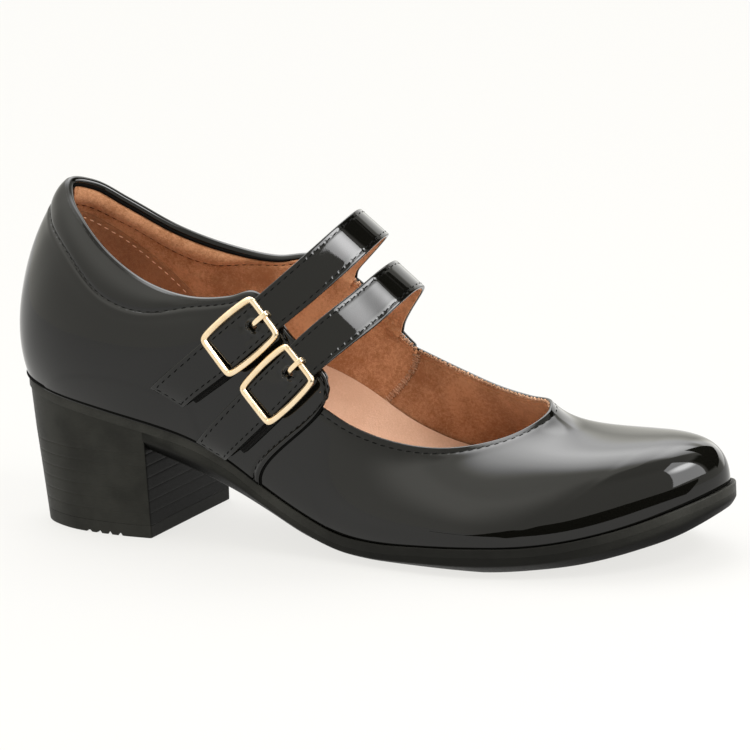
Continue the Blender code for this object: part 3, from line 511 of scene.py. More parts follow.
quarter = {
    "overlay": 1.0, "inside": 2.0, "ribs": 300,
    "rollFrom": 0.9,                  # depth below the topline where the edge starts to turn over
    "row": (                          # station, depth of the stitch row that holds the padded collar
        (3.0, 2.2), (3.40, 2.2), (3.46, 2.6), (3.53, 4.6), (3.59, 8.4), (3.66, 10.0), (3.80, 9.5),
        (3.92, 9.6), (4.04, 10.5), (4.16, 10.4), (4.24, 11.5), (4.30, 12.3), (4.36, 11.2),
        (4.42, 9.0), (4.47, 5.8), (4.52, 2.9), (4.60, 2.2), (5.0, 2.2)),
    "band": (                         # station, how deep the folded leather shows inside
        (3.0, 0.45), (3.25, 0.45), (3.36, 0.9), (3.50, 1.5), (3.60, 1.8), (4.40, 1.8), (4.60, 1.0),
        (5.0, 0.9)),
    "counter": (                      # station, depth of the stiffener's edge showing through
        (3.0, 60.0), (3.25, 50.0), (3.35, 44.0), (3.50, 38.5), (3.60, 41.0), (3.72, 52.0), (3.8, 62.0),
        (4.2, 62.0), (4.28, 50.5), (4.32, 46.0), (4.37, 42.0), (4.43, 39.0), (4.50, 38.2),
        (4.57, 40.6), (4.63, 44.2), (4.73, 45.6), (4.85, 52.0), (5.0, 60.0)),
    "padding": 0.8, "groove": 0.42, "counterStep": 0.22,
}
vamp = {
    "overlay": 0.0, "inside": 1.5, "ribs": 300, "rollFrom": 0.5,
    "row": ((1.0, 2.1), (3.0, 2.1)),
    "band": ((1.0, 0.9), (1.9, 0.9), (2.12, 0.45), (3.0, 0.45)),
    "counter": ((0.9, 40.0), (0.99, 27.0), (1.02, 24.0), (1.05, 22.4), (1.08, 23.4), (1.12, 27.0),
                (1.18, 40.0), (2.9, 40.0), (3.1, 40.0)),
    "padding": 0.0, "groove": 0.10, "counterStep": 0.06,
}
seamEdge = {                          # front edge of the quarter: distance from it, share of thickness left
    "away": (0.0, 0.0, 0.0, 0.05, 0.14, 0.3, 0.5, 0.8, 1.1, 1.4, 1.6, 1.8, 2.0, 2.2, 2.4, 2.7, 3.1, 3.7,
             4.4),
    "height": (-0.4, 0.1, 0.45, 0.66, 0.8, 0.9, 0.96, 1.0),
    "row": 1.8, "groove": 0.3,
}
skinRows = {
    "tuck": ((4.0, 0.9), (0.9, 0.75), (0.1, 0.35)),        # inward and down, under the foot of the skin
    "below": (0.25, 0.5, 0.8, 1.2, 1.8, 2.6, 3.6),         # crowded below a stitch row
    "bandShare": (0.35, 0.7, 0.9, 1.0, 1.02), "bandIn": (0.06, 0.06, 0.02, -0.1, -0.55),
}


def softByStation(rows, station, reach=0.02):
    # the table's values along the panel, with its corners rounded
    rows = np.array(rows)
    fine = np.linspace(rows[0, 0], rows[-1, 0], 1201)
    values = soften(np.interp(fine, rows[:, 0], rows[:, 1])[:, None], reach / (fine[1] - fine[0]))[:, 0]
    return np.interp(station, fine, values)


def stationsWithSeams(spec, stations, seams):
    # stations crowded towards the panel's two ends when it has a stitched, folded edge there
    first, last = stations
    if not seams:
        middle = np.linspace(first, last, spec["ribs"])
        return middle, np.full(len(middle), 99.0), np.full(len(middle), spec["overlay"])
    pace = lastShape["stationLength"]
    away = np.array(seamEdge["away"])
    height = np.array(seamEdge["height"] + (1.0,) * (len(away) - len(seamEdge["height"])))
    inner = np.linspace(first + away[-1] / pace, last - away[-1] / pace, spec["ribs"])[1:-1]
    station = np.concatenate([first + away / pace, inner, last - away[::-1] / pace])
    fromEdge = np.concatenate([away, np.minimum(inner - first, last - inner) * pace, away[::-1]])
    overlay = np.concatenate([height, np.ones(len(inner)), height[::-1]]) * spec["overlay"]
    return station, fromEdge, overlay


def depthRows(start, rowDepth, total, upper, lower, even):
    # depths from the start of the skin down to its foot, one line of them at the stitch row
    turned = (1 - np.cos(np.linspace(0, math.pi, upper))) / 2
    share = (1 - even) * turned + even * np.linspace(0, 1, upper)
    near = start[:, None] + (rowDepth - start)[:, None] * share
    under = rowDepth[:, None] + np.array(skinRows["below"])
    last = under[:, -1:]
    rest = last + (total[:, None] - last) * np.linspace(0, 1, lower + 1)[1:]
    return np.concatenate([near, under, rest], axis=1)


def outerRelief(spec, station, depth, rowDepth, fromEdge):
    # height of the skin over its plain thickness: padding, stitch grooves, the stiffener's edge
    row = rowDepth[:, None]
    fullness = ease(3.0, 8.5, row)
    relief = spec["padding"] * fullness * np.sin(math.pi * np.clip(depth / row, 0, 1)) ** 0.8
    relief -= spec["groove"] * (0.55 + 0.45 * fullness) * hump(depth, row, 0.6)
    relief += 0.3 * spec["groove"] * hump(depth, row + 1.6, 1.0)
    counter = softByStation(spec["counter"], station)[:, None]
    relief += spec["counterStep"] * ease(-1.0, 1.0, depth - counter)
    if spec["overlay"]:
        relief -= seamEdge["groove"] * hump(fromEdge[:, None], seamEdge["row"], 0.5) * ease(1.2, 3.0, depth)
        relief += 0.12 * hump(fromEdge[:, None], 0.9, 0.5)
    return relief


def leatherSkin(name, panel, spec, stations, seams):
    station, fromEdge, overlay = stationsWithSeams(spec, stations, seams)
    rowDepth = softByStation(spec["row"], station)
    start = np.full(len(station), spec["rollFrom"])
    depth = depthRows(start, rowDepth, panel.total(station), 16, 52, 0.5)[:, ::-1]
    point, normal, up = panel.atDepth(station, depth)
    relief = outerRelief(spec, station, depth, rowDepth, fromEdge)
    outside = point + normal * (overlay[:, None] + relief)[..., None]
    # its foot turns in under the last
    flat = unit(normal[:, :1] * (1.0, 1.0, 0.0))
    tuck = [point[:, :1] - flat * inward - (0.0, 0.0, drop) for inward, drop in skinRows["tuck"]]
    tuck[2] += flat * overlay[:, None, None] * 0.8
    # its upper edge rolls over the topline and ends as a band inside
    inside = spec["inside"]
    half, middle = (overlay + inside) / 2, (overlay - inside) / 2
    turn = []
    for angle in np.linspace(0, math.pi, 13)[1:]:
        reach = middle + half * math.cos(angle)
        rolled = point[:, -1] + normal[:, -1] * reach[:, None]
        turn.append(rolled + up[:, -1] * (half * math.sin(angle))[:, None])
    band = np.maximum(softByStation(spec["band"], station) - spec["rollFrom"], 0.3)
    bandDepth = spec["rollFrom"] + band[:, None] * np.array(skinRows["bandShare"])
    bandPoint, bandNormal, _ = panel.atDepth(station, bandDepth)
    bandRows = bandPoint - bandNormal * (inside + np.array(skinRows["bandIn"]))[:, None]
    grid = np.concatenate([*tuck, outside, np.stack(turn, axis=1), bandRows], axis=1)
    # how far each corner lies from the stitch row and along it
    along = chords(point[:, -1])
    aside = np.full(grid.shape[:2], 9.0)
    aside[:, 3:3 + depth.shape[1]] = depth - rowDepth[:, None]
    stitchAlong = along[:, None] + 0 * aside
    if seams:
        # the seam's own stitch row wins near the front edges
        down = np.full(grid.shape[:2], 9.0)
        down[:, 3:3 + depth.shape[1]] = depth
        fromRow = (fromEdge - seamEdge["row"])[:, None] + 0 * down
        close = (np.abs(fromRow) < np.abs(aside)) & (down > 2.5)
        aside = np.where(close, fromRow, aside)
        stitchAlong = np.where(close, down, stitchAlong)
    piece = gridPiece(name, grid, finishes["patent"], weld=False, away=(100.0, 0.0, 40.0),
                      layers={"stitchAlong": stitchAlong, "stitchAside": aside})
    wear(piece, "patent_leather", "upper")
    return {"station": station, "rowDepth": rowDepth, "along": along, "overlay": overlay}


quarterGuide = leatherSkin("quarterLeather", quarterPanel, quarter, (3.0, 5.0), True)
vampGuide = leatherSkin("vampLeather", vampPanel, vamp, (0.975, 3.025), False)
print("leather laid over the last")


lining = {
    "inside": 2.15, "roll": 2.3, "ribs": 300,
    "folds": (                        # station, depth at its start; station, depth at its end; width, height
        (3.86, 11.5, 3.60, 15.5, 1.7, 0.55), (3.72, 14.5, 3.40, 18.0, 2.2, 0.5),
        (3.60, 11.5, 3.36, 11.0, 1.6, -0.35), (3.50, 22.0, 3.22, 17.0, 3.0, 0.35),
        (4.14, 12.5, 4.40, 15.5, 1.7, 0.55), (4.28, 15.5, 4.60, 18.0, 2.2, 0.5)),
}
vampLining = {"inside": 1.65, "ribs": 240}


def liningSkin(name, panel, spec, shape, stations, material):
    # padded where the stitch row runs deep, with soft folds over the heel grip
    station = np.linspace(*stations, spec["ribs"])
    rowDepth = softByStation(shape["row"], station)
    band = softByStation(shape["band"], station)
    depth = depthRows(band - 0.9, rowDepth, panel.total(station) - 2.5, 22, 44, 0.0)
    point, normal, _ = panel.atDepth(station, depth)
    row, edge = rowDepth[:, None], band[:, None]
    fullness = ease(1.5, 6.5, row - edge)
    rise = np.clip((depth - edge + 0.5) / (row - edge + 0.5), 0, 1)
    relief = lining["roll"] * fullness * np.sin(math.pi * rise) ** 0.85
    relief -= 0.3 * hump(depth, row, 0.5)
    relief += 0.25 * (1 - fullness) * ease(-0.9, 0.2, depth - edge)
    relief -= 0.75 * ease(0.5, -0.7, depth - edge)
    for fromStation, fromDepth, toStation, toDepth, width, height in lining["folds"]:
        run = (station - fromStation) / (toStation - fromStation)
        middle = fromDepth + (toDepth - fromDepth) * run
        strength = height * np.clip(np.sin(math.pi * np.clip(run, 0, 1)), 0, 1) ** 0.8
        relief += strength[:, None] * hump(depth, middle[:, None], width)
    grid = point - normal * (spec["inside"] + relief)[..., None]
    piece = gridPiece(name, grid, material, inwards=True, weld=False, away=(100.0, 0.0, 60.0))
    wear(piece, "lining_suede", "upper")


liningSkin("quarterLining", quarterPanel, lining, quarter, (2.985, 5.0), finishes["lining"])
liningSkin("vampLining", vampPanel, vampLining, vamp, (0.99, 3.01), finishes["vampLining"])

grip = {
    "inside": 2.15, "height": 0.75, "ribs": 220,
    "edge": (                         # station, depth of the upper edge of the heel grip
        (3.50, 54.0), (3.515, 44.0), (3.54, 34.0), (3.565, 28.5), (3.60, 24.2), (3.65, 20.6), (3.70, 17.6),
        (3.76, 15.2), (3.83, 13.1), (3.90, 12.1), (4.0, 12.3), (4.10, 12.6), (4.17, 13.6), (4.24, 15.6),
        (4.30, 18.0), (4.35, 20.8), (4.40, 24.6), (4.435, 29.0), (4.46, 34.5), (4.485, 44.0), (4.50, 54.0)),
    # its rounded edge and stitch groove: distance below the edge, share of its height
    "lip": (0.0, 0.0, 0.05, 0.2, 0.5, 0.9, 1.3, 1.6, 1.9, 2.4),
    "lipHeight": (-0.7, 0.0, 0.42, 0.68, 0.85, 0.9, 0.82, 0.72, 0.82, 0.9),
}


def makeGrip():
    first, last = grip["edge"][0][0], grip["edge"][-1][0]
    middle = (first + last) / 2
    station = middle + (last - middle) * np.sin(np.linspace(-math.pi / 2, math.pi / 2, grip["ribs"]))
    top = softByStation(grip["edge"], station, 0.008)
    near = top[:, None] + np.array(grip["lip"])
    room = np.maximum(quarterPanel.total(station) - 2.0 - near[:, -1], 0.5)
    rest = near[:, -1:] + room[:, None] * np.linspace(0, 1, 40)[1:]
    depth = np.concatenate([near, rest], axis=1)
    rise = grip["height"] * np.append(grip["lipHeight"], np.full(rest.shape[1], grip["lipHeight"][-1]))
    point, normal, _ = quarterPanel.atDepth(station, depth)
    grid = point - normal * (grip["inside"] + rise[None, :])[..., None]
    piece = gridPiece("heelGrip", grid, finishes["grip"], inwards=True, weld=False, away=(60.0, 0.0, 70.0))
    wear(piece, "lining_suede", "upper")
    return station, top


gripStation, gripTop = makeGrip()


def treeOf(*grids):
    mesh = bmesh.new()
    for grid in grids:
        layGrid(mesh, grid)
    tree = BVHTree.FromBMesh(mesh)
    mesh.free()
    return tree


def sideAt(tree, along, height, start, way):
    # where a straight line across the foot meets the faces
    origin = Vector(toObject((along, start, height))[0])
    return tree.ray_cast(origin, Vector((0.0, way, 0.0)))[0].y / mm


def panelGrid(panel, stations, ribs, rows, outwards):
    # the panel's plain surface, moved outwards
    point, normal, _ = panel.frame(np.linspace(*stations, ribs)[:, None] + np.zeros(rows),
                                   np.linspace(0, 1, rows) + np.zeros((ribs, 1)))
    return point + normal * outwards


footbed = {
    "thickness": 7.0, "archRise": 19.0, "archAt": 106.0, "archSpread": 36.0, "edgeRise": 2.0,
    "from": 7.0, "to": 236.0, "sections": 150, "lanes": 41, "clearance": 0.45, "toeShift": 3.0,
    "skirt": ((2.2, 0.5), (0.5, 0.1)),       # down and inward from its edge
}


def footMiddle(along):
    # the foot's middle swings to the inner side towards the toe
    share = (along - lastShape["flatTo"]) / (footbed["to"] - lastShape["flatTo"])
    return footbed["toeShift"] * np.clip(share, 0, 1)


def makeFootbed():
    wall = treeOf(panelGrid(quarterPanel, (3.0, 5.0), 260, 90, -2.2),
                  panelGrid(vampPanel, (1.0, 3.0), 260, 90, -2.2))
    share = (1 - np.cos(np.linspace(0, math.pi, footbed["sections"]))) / 2
    along = footbed["from"] + (footbed["to"] - footbed["from"]) * share
    bed = soleTop(along) + lastShape["footGap"] + footbed["thickness"]
    arch = footbed["archRise"] * np.exp(-((along - footbed["archAt"]) / footbed["archSpread"]) ** 2)
    edges = []
    for way, rise in ((-1.0, 0 * arch), (1.0, arch)):
        rim = bed + footbed["edgeRise"] + rise
        side = np.array([sideAt(wall, *place, way) for place in zip(along, rim, footMiddle(along))])
        side -= way * footbed["clearance"]
        edges.append(np.column_stack([along, soften(side[:, None], 2.0)[:, 0], rim]))
    outer, inner = edges
    share = np.sin(np.linspace(-math.pi / 2, math.pi / 2, footbed["lanes"])) / 2 + 0.5
    across = outer[:, None, 1] * (1 - share) + inner[:, None, 1] * share
    edge = np.where(share < 0.5, outer[:, None, 2], inner[:, None, 2])
    height = bed[:, None] + (edge - bed[:, None]) * (2 * share - 1) ** 4
    top = np.stack([along[:, None] + 0 * across, across, height], axis=-1)
    skirtOuter = [outer + (0.0, inset, -step) for step, inset in footbed["skirt"]]
    skirtInner = [inner - (0.0, inset, step) for step, inset in footbed["skirt"][::-1]]
    grid = np.concatenate([np.stack(skirtOuter, axis=1), top, np.stack(skirtInner, axis=1)], axis=1)
    piece = gridPiece("footbed", grid, finishes["footbed"], away=(110.0, 0.0, -200.0))
    wear(piece, "lining_suede", "insole")


makeFootbed()
print("lined")


sole = {
    "margin": 0.8, "toeMargin": 1.6, "toeMarginFrom": 190.0, "toeMarginOver": 55.0,
    "bandAtHeel": 3.4, "bandAtToe": 2.9, "bandNarrowsFrom": 100.0, "bandNarrowsOver": 60.0, "around": 420,
    # rings: inset, share of the tread's inset, share of the way from the top to the bottom, and above that
    "bandRings": (
        (7.0, 0, 0, -0.7), (2.4, 0, 0, -0.5), (1.25, 0, 0, -0.4), (0.95, 0, 0, -0.2), (0.72, 0, 0, -0.02),
        (0.42, 0, 0, 0.03), (0.18, 0, 0, -0.06), (0.05, 0, 0, -0.22), (0, 0, 0, -0.45), (0, 0, 0.5, 0),
        (0, 0, 1, 0.12), (0.01, 0, 1, 0.04), (0.04, 0, 1, 0.01), (0.12, 0, 1, 0), (0.9, 0, 1, 0.02),
        (3.0, 0, 1, 0.05)),
    "bodyRings": (
        (2.5, 0, 0, 0.6), (0.12, 0, 0, 0.1), (0.01, 0, 0.005, 0), (0, 0, 0.05, 0), (0, 0, 0.25, 0),
        (0, 0.004, 0.36, 0), (0, 0.02, 0.405, 0), (0, 0.055, 0.45, 0), (0, 0.11, 0.50, 0), (0, 0.2, 0.57, 0),
        (0, 0.4, 0.71, 0), (0, 0.65, 0.87, 0), (0, 0.82, 0.955, 0), (0, 0.93, 0.988, 0), (0, 1.0, 1.0, 0),
        (0, 1.25, 1.0, 0)),
}
heel = {
    "height": 46.0, "taperSide": 1.8, "taperBack": 5.2, "breastAlong": 56.8, "breastSkew": 0.094,
    "topPiece": 4.4, "gap": 0.04, "layer": 4.1, "layersTo": 33.0, "layerGroove": 0.12, "centre": (30.0, 0.0),
    "groove": ((-0.9, 0.0), (-0.28, 0.0), (-0.1, 0.6), (0.0, 1.0), (0.1, 0.6), (0.28, 0.0), (0.9, 0.0)),
    "notches": 4, "notchWidth": 1.6, "notchDepth": 1.4, "notchPitch": 4.2, "notchFirst": 30.0,
    "corner": (0.0, 0.25, 0.5, 0.8, 1.2, 1.8), "backPoints": 170, "sidePoints": 150, "breastPoints": 44,
    # rows of the top piece: level, share of the way up to the sole, inset
    "tipRows": ((0.0, 0, 0.9), (0.0, 0, 0.45), (0.08, 0, 0.15), (0.3, 0, 0), (1.0, 0, 0), (1.5, 0, 0),
                (2.5, 0, 0), (3.9, 0, 0), (4.36, 0, 0), (4.4, 0, 0.08), (4.4, 0, 0.7)),
}


def edgeMargin(along):
    share = np.clip((along - sole["toeMarginFrom"]) / sole["toeMarginOver"], 0, 1)
    return sole["margin"] + (sole["toeMargin"] - sole["margin"]) * share ** 2


def bandBottom(along):
    share = ease(sole["bandNarrowsFrom"], sole["bandNarrowsFrom"] + sole["bandNarrowsOver"], along)
    return soleTop(along) - sole["bandAtHeel"] - (sole["bandAtToe"] - sole["bandAtHeel"]) * share


def breastLine(side):
    # where the heel's front face stands, a little askew
    return heel["breastAlong"] + heel["breastSkew"] * side


def softOutline(station):
    # the feather line in plan with its knots eased out, and its outward direction
    fine = np.linspace(0, 4, 2401)
    plan, _ = featherLine(fine[:-1])
    plan = softLoop(plan, 4.0 / 0.24, 80)
    tangent = np.gradient(np.concatenate([plan[-3:], plan, plan[:4]]), axis=0)[3:-3]
    at = np.asarray(station) % 4.0
    line = between(at, fine, np.concatenate([plan, plan[:1]]))
    way = unit(between(at, fine, tangent))
    return line, np.column_stack([way[:, 1], -way[:, 0]])


def soleRings(station, rings, top, bottom):
    line, outward = softOutline(station)
    along = line[:, 0]
    grid = []
    for inset, treadInset, down, above in rings:
        move = edgeMargin(along) - inset - treadInset * profileValue("inset", along)
        level = top(along) + (bottom(along) - top(along)) * down + above
        grid.append(np.column_stack([line + outward * move[:, None], level]))
    return np.stack(grid)


def closedBelow(grid, steps, spine, level, above=0.0):
    # rings that close the underside, drawn in to a line down the middle of the foot
    ring = grid[-1]
    target = ring.copy()
    target[:, 0] = np.clip(ring[:, 0], *spine)
    target[:, 1] = footMiddle(target[:, 0])
    rows = []
    for share in np.linspace(0, 1, steps + 1)[1:]:
        row = ring * (1 - share) + target * share
        row[:, 2] = level(row[:, 0]) + above
        rows.append(row)
    return np.concatenate([grid, np.stack(rows)])


def foreShade(along):
    # painted shade: the sole's side is darker round the forefoot
    return 0.7 * ease(95.0, 140.0, along) * ease(240.0, 205.0, along)


def makeSoleBand():
    grid = soleRings(np.linspace(0.0, 4.0, sole["around"] + 1), sole["bandRings"], soleTop, bandBottom)
    grid = closedBelow(grid, 3, (20.0, 225.0), bandBottom, 0.05)
    piece = gridPiece("soleBand", grid, finishes["band"], away=(120.0, 0.0, 20.0),
                      layers={"tread": foreShade(grid[..., 0])})
    wear(piece, "sole_rubber", "outsole")


def breastStations():
    # stations where the sole's edge meets the heel's front face
    fine = np.linspace(0.0, 4.0, 4001)
    line, outward = softOutline(fine)
    edge = line + outward * edgeMargin(line[:, 0])[:, None]
    reach = edge[:, 0] - breastLine(edge[:, 1]) - heel["gap"]
    toe = int(np.argmax(edge[:, 0]))
    return np.interp(0.0, reach[:toe], fine[:toe]), np.interp(0.0, reach[toe:][::-1], fine[toe:][::-1])


def makeSoleBody():
    grid = soleRings(np.linspace(*breastStations(), 380), sole["bodyRings"], bandBottom, soleTread)
    grid = closedBelow(grid, 8, (heel["breastAlong"] + 6.0, 222.0), soleTread)
    # the back face, drawn in to the middle
    outer, inner = ([grid[:, side] * (1.0, 1 - share, 1.0) for share in (0.5, 1.0)] for side in (0, -1))
    grid = np.concatenate([np.stack(outer[::-1], axis=1), grid, np.stack(inner, axis=1)], axis=1)
    for face in (slice(0, 3), slice(-3, None)):
        grid[:, face, 0] = breastLine(grid[:, face, 1]) + heel["gap"]
    along = grid[..., 0]
    top, low = bandBottom(along), soleTread(along)
    share = (grid[..., 2] - low) / (top - low)
    # painted shade: the body darkens towards the tread, in a wedge by the heel's breast, and round the
    # forefoot
    turned = 0.5 * ease(0.06, -0.06, share - 1 + (along - heel["breastAlong"]) / 34.0)
    tread = np.maximum(ease(0.85, 0.35, share), turned * ease(92.0, 84.0, along))
    piece = gridPiece("soleBody", grid, finishes["sole"], away=(150.0, 0.0, 12.0),
                      layers={"tread": np.maximum(tread, foreShade(along))})
    wear(piece, "sole_rubber", "outsole")


def heelRing(shareUp):
    # heel section at a share of its height: round the back, then straight across the breast
    fine = np.linspace(-1.6, 1.6, 1601)
    plan, outward = softOutline(fine)
    back = np.maximum(-outward[:, 0], 0.0) ** 2
    taper = (heel["taperSide"] + (heel["taperBack"] - heel["taperSide"]) * back) * (1 - shareUp)
    edge = plan + outward * (sole["margin"] - taper)[:, None]
    reach = edge[:, 0] - breastLine(edge[:, 1])
    half = len(fine) // 2
    first = np.interp(0.0, reach[:half][::-1], np.arange(half)[::-1])
    last = np.interp(0.0, reach[half:], np.arange(half, len(fine)))
    at = np.linspace(first, last, heel["backPoints"])
    around = between(at, np.arange(len(fine)), edge)
    share = np.linspace(0, 1, heel["breastPoints"] + 1)[1:, None]
    ring = np.concatenate([around, around[-1] * (1 - share) + around[0] * share])
    # the two corners are eased, with points crowded round them
    travelled = chords(ring)
    whole, corner = travelled[-1], travelled[heel["backPoints"] - 1]
    fine = np.linspace(0, whole, 2401)
    points = softLoop(between(fine[:-1], travelled, ring), 0.4 / fine[1], 60)
    crowd = np.array(heel["corner"])
    keep = np.concatenate([
        crowd, np.linspace(2.6, corner - 2.6, heel["sidePoints"]), corner - crowd[::-1], corner + crowd[1:],
        np.linspace(corner + 2.6, whole - 2.6, heel["breastPoints"]), whole - crowd[::-1]])
    return between(keep, fine, np.concatenate([points, points[:1]]))


def heelLevel(along, level, share):
    # a share of the way from the level up to the sole
    return level + (bandBottom(along) - heel["gap"] - level) * share


def heelStack(name, rows, finish, layer, shade, cut=None):
    # rows: level, share of the way up to the sole, inset
    centre = np.array(heel["centre"])
    grid, closeTop, closeBottom = [], [], []
    for level, share, inset in rows:
        middle = float(np.mean(heelLevel(np.array([0.0, heel["breastAlong"]]), level, share)))
        ring = heelRing(middle / heel["height"])
        drawnIn = ring - unit(ring - centre) * inset
        grid.append(np.column_stack([drawnIn, heelLevel(ring[:, 0], level, share)]))
    for part in (0.4, 0.8, 1.0):
        for end, closing in ((-1, closeTop), (0, closeBottom)):
            plan = grid[end][:, :2] * (1 - part) + centre * part
            closing.append(np.column_stack([plan, heelLevel(plan[:, 0], *rows[end][:2])]))
    grid = np.stack(closeBottom[::-1] + grid + closeTop)
    if cut:
        grid[..., 2] += cut(grid)
    values = np.zeros(grid.shape[:2])
    # painted shade: the face across the breast is coloured darker through the named attribute
    values[:, heel["sidePoints"] + 2 * len(heel["corner"]):-1] = shade      # on the breast alone
    return gridPiece(name, grid, finish, away=(*heel["centre"], grid[..., 2].mean()), layers={layer: values})


def notchCut(grid):
    # four notches under the outer side
    centres = heel["notchFirst"] + heel["notchPitch"] * np.arange(heel["notches"])
    away = np.abs(grid[..., 0, None] - centres).min(axis=-1)
    cut = heel["notchDepth"] * np.clip(1 - away / (heel["notchWidth"] / 2), 0, 1)
    return cut * (grid[..., 1] < -12.0) * np.clip(1 - grid[..., 2] / 2.4, 0, 1)


def makeHeel():
    # the layers part at shallow grooves, and the top follows the sole
    level = heel["topPiece"] + heel["gap"]
    rows = [(level, 0.0, 0.7), (level, 0.0, 0.08), (level + 0.04, 0.0, 0.0), (level + 0.3, 0.0, 0.0)]
    while level + heel["layer"] < heel["layersTo"]:
        level += heel["layer"]
        rows += [(level + away, 0.0, heel["layerGroove"] * depth) for away, depth in heel["groove"]]
        rows.append((level + heel["layer"] / 2, 0.0, 0.0))
    start = rows[-1][0]
    rows += [(start, share, 0.0) for share in np.linspace(0, 1, 14)[1:]] + [(start, 1.0, 0.2)]
    wear(heelStack("heelBlock", rows, finishes["heel"], "breast", 1.0), "heel_leather", "heel_block")
    tip = heelStack("heelTopPiece", heel["tipRows"], finishes["sole"], "tread", 0.6, notchCut)
    wear(tip, "sole_rubber", "heel_top_piece")


makeSoleBand()
makeSoleBody()
makeHeel()
print("sole and heel built")


strap = {
    "thickness": 2.0, "leaving": 6.0, "rootGap": 0.9, "steps": 250, "lanes": 12, "liningPart": 0.62,
    "stitchInset": 1.5, "groove": 0.05,
    # rear along and height, front along and height, side, lift: a row without a side lies on the quarter
    "folds": {
        "rear": (
            (60.1, 53.8, 71.8, 47.7, None, 0.3), (64.4, 57.3, 74.9, 50.2, None, 1.6),
            (79.0, 69.4, 87.4, 59.4, None, 1.6), (98.2, 85.0, 106.6, 75.2, None, 1.8),
            (106.2, 92.6, 114.6, 82.4, -23.0, 0.0), (112.8, 99.5, 121.4, 89.3, -13.0, 0.0),
            (117.6, 104.9, 126.6, 95.2, -3.0, 0.0), (119.2, 107.1, 128.5, 98.2, 6.0, 0.0),
            (117.0, 105.0, 126.8, 97.2, 14.6, 0.0), (108.4, 97.6, 118.4, 89.4, 20.4, 0.0)),
        "front": (
            (74.8, 35.8, 86.0, 30.7, None, 0.3), (78.6, 39.4, 88.8, 32.9, None, 1.6),
            (92.2, 52.9, 100.8, 43.4, None, 1.6), (111.4, 70.8, 120.2, 61.6, None, 1.8),
            (118.6, 78.2, 127.6, 68.6, -24.0, 0.0), (125.2, 84.2, 134.4, 74.6, -13.0, 0.0),
            (130.0, 89.2, 139.2, 80.2, -3.0, 0.0), (131.0, 90.4, 140.4, 82.0, 6.0, 0.0),
            (129.0, 88.2, 138.8, 80.0, 14.6, 0.0), (121.0, 79.6, 131.4, 71.2, 20.8, 0.0)),
    },
    "roots": {"rear": (97.4, 109.2), "front": (115.0, 124.8)},      # along, on the inner topline
    # inside the quarter: depths it runs over, how far it sinks in and where, softening
    "leatherEnd": {"depths": (0.6, 6.0), "sinks": 0.5, "over": (0.0, 3.0), "soften": 2.2},
    "liningEnd": {"depths": (0.2, 3.2), "sinks": 1.75, "over": (-0.9, 1.3), "soften": 1.6},
}
buckle = {
    "length": 24.4, "endWidth": 14.4, "middleWidth": 18.4, "easing": 1.9, "width": 2.2, "thickness": 1.8,
    "around": 200, "seatReach": 8.0, "gap": 0.15,
    "place": {"rear": (94.3, 72.7, 39.8), "front": (108.2, 58.1, 43.0)},     # along, height, tilt
    "section": (                      # inset and height, from the outer edge underneath
        (0.35, -0.90), (0.12, -0.78), (0.0, -0.55), (0.0, 0.10), (0.06, 0.28), (0.22, 0.48), (0.48, 0.72),
        (0.66, 0.84), (0.84, 0.90), (1.20, 0.90), (1.42, 0.90), (1.50, 0.86), (1.62, 0.72), (1.92, 0.42),
        (2.10, 0.22), (2.20, 0.0), (2.20, -0.55), (2.08, -0.78), (1.85, -0.90), (1.2, -0.90), (0.35, -0.90)),
}
prong = {
    "reach": 5.6, "width": 0.85, "thickness": 0.55,
    "path": (                         # from the bar, and above the frame's middle
        (-5.4, -1.7), (-4.9, -0.5), (-4.0, 0.75), (-2.9, 1.4), (-1.6, 1.62), (-0.4, 1.62), (0.6, 1.6),
        (1.45, 1.35), (1.85, 0.7), (1.9, 0.0), (1.8, -0.8), (1.2, -1.35), (0.2, -1.5), (-0.9, -1.4)),
}
elastic = {
    "thickness": 0.9, "lift": 0.25, "round": 0.45, "from": {"rear": 1.0, "front": 1.75}, "to": 1.35,
    "shows": {"rear": 1.6, "front": 2.2}, "reach": 7.0, "lanes": 14,
}
outsideSide = -100.0                  # a side well clear of the shoe, from which the quarter is felt for
quarterTree = treeOf(panelGrid(quarterPanel, (3.0, 5.0), 420, 120, quarter["overlay"]))


def wallSide(along, height):
    return sideAt(quarterTree, along, height, outsideSide, 1.0)


def rootStation(along):
    station = np.linspace(3.0, 3.9, 400)
    line = topline(lastShape["quarterTopline"], (3.0, 5.0), station)
    order = np.argsort(line[:, 0])
    return np.interp(along, line[order, 0], station[order])


def rootPoint(along):
    point, _, _ = quarterPanel.frame(rootStation(np.array([along])), np.array([1.0]))
    return point[0] + (0.0, -0.5, strap["rootGap"])


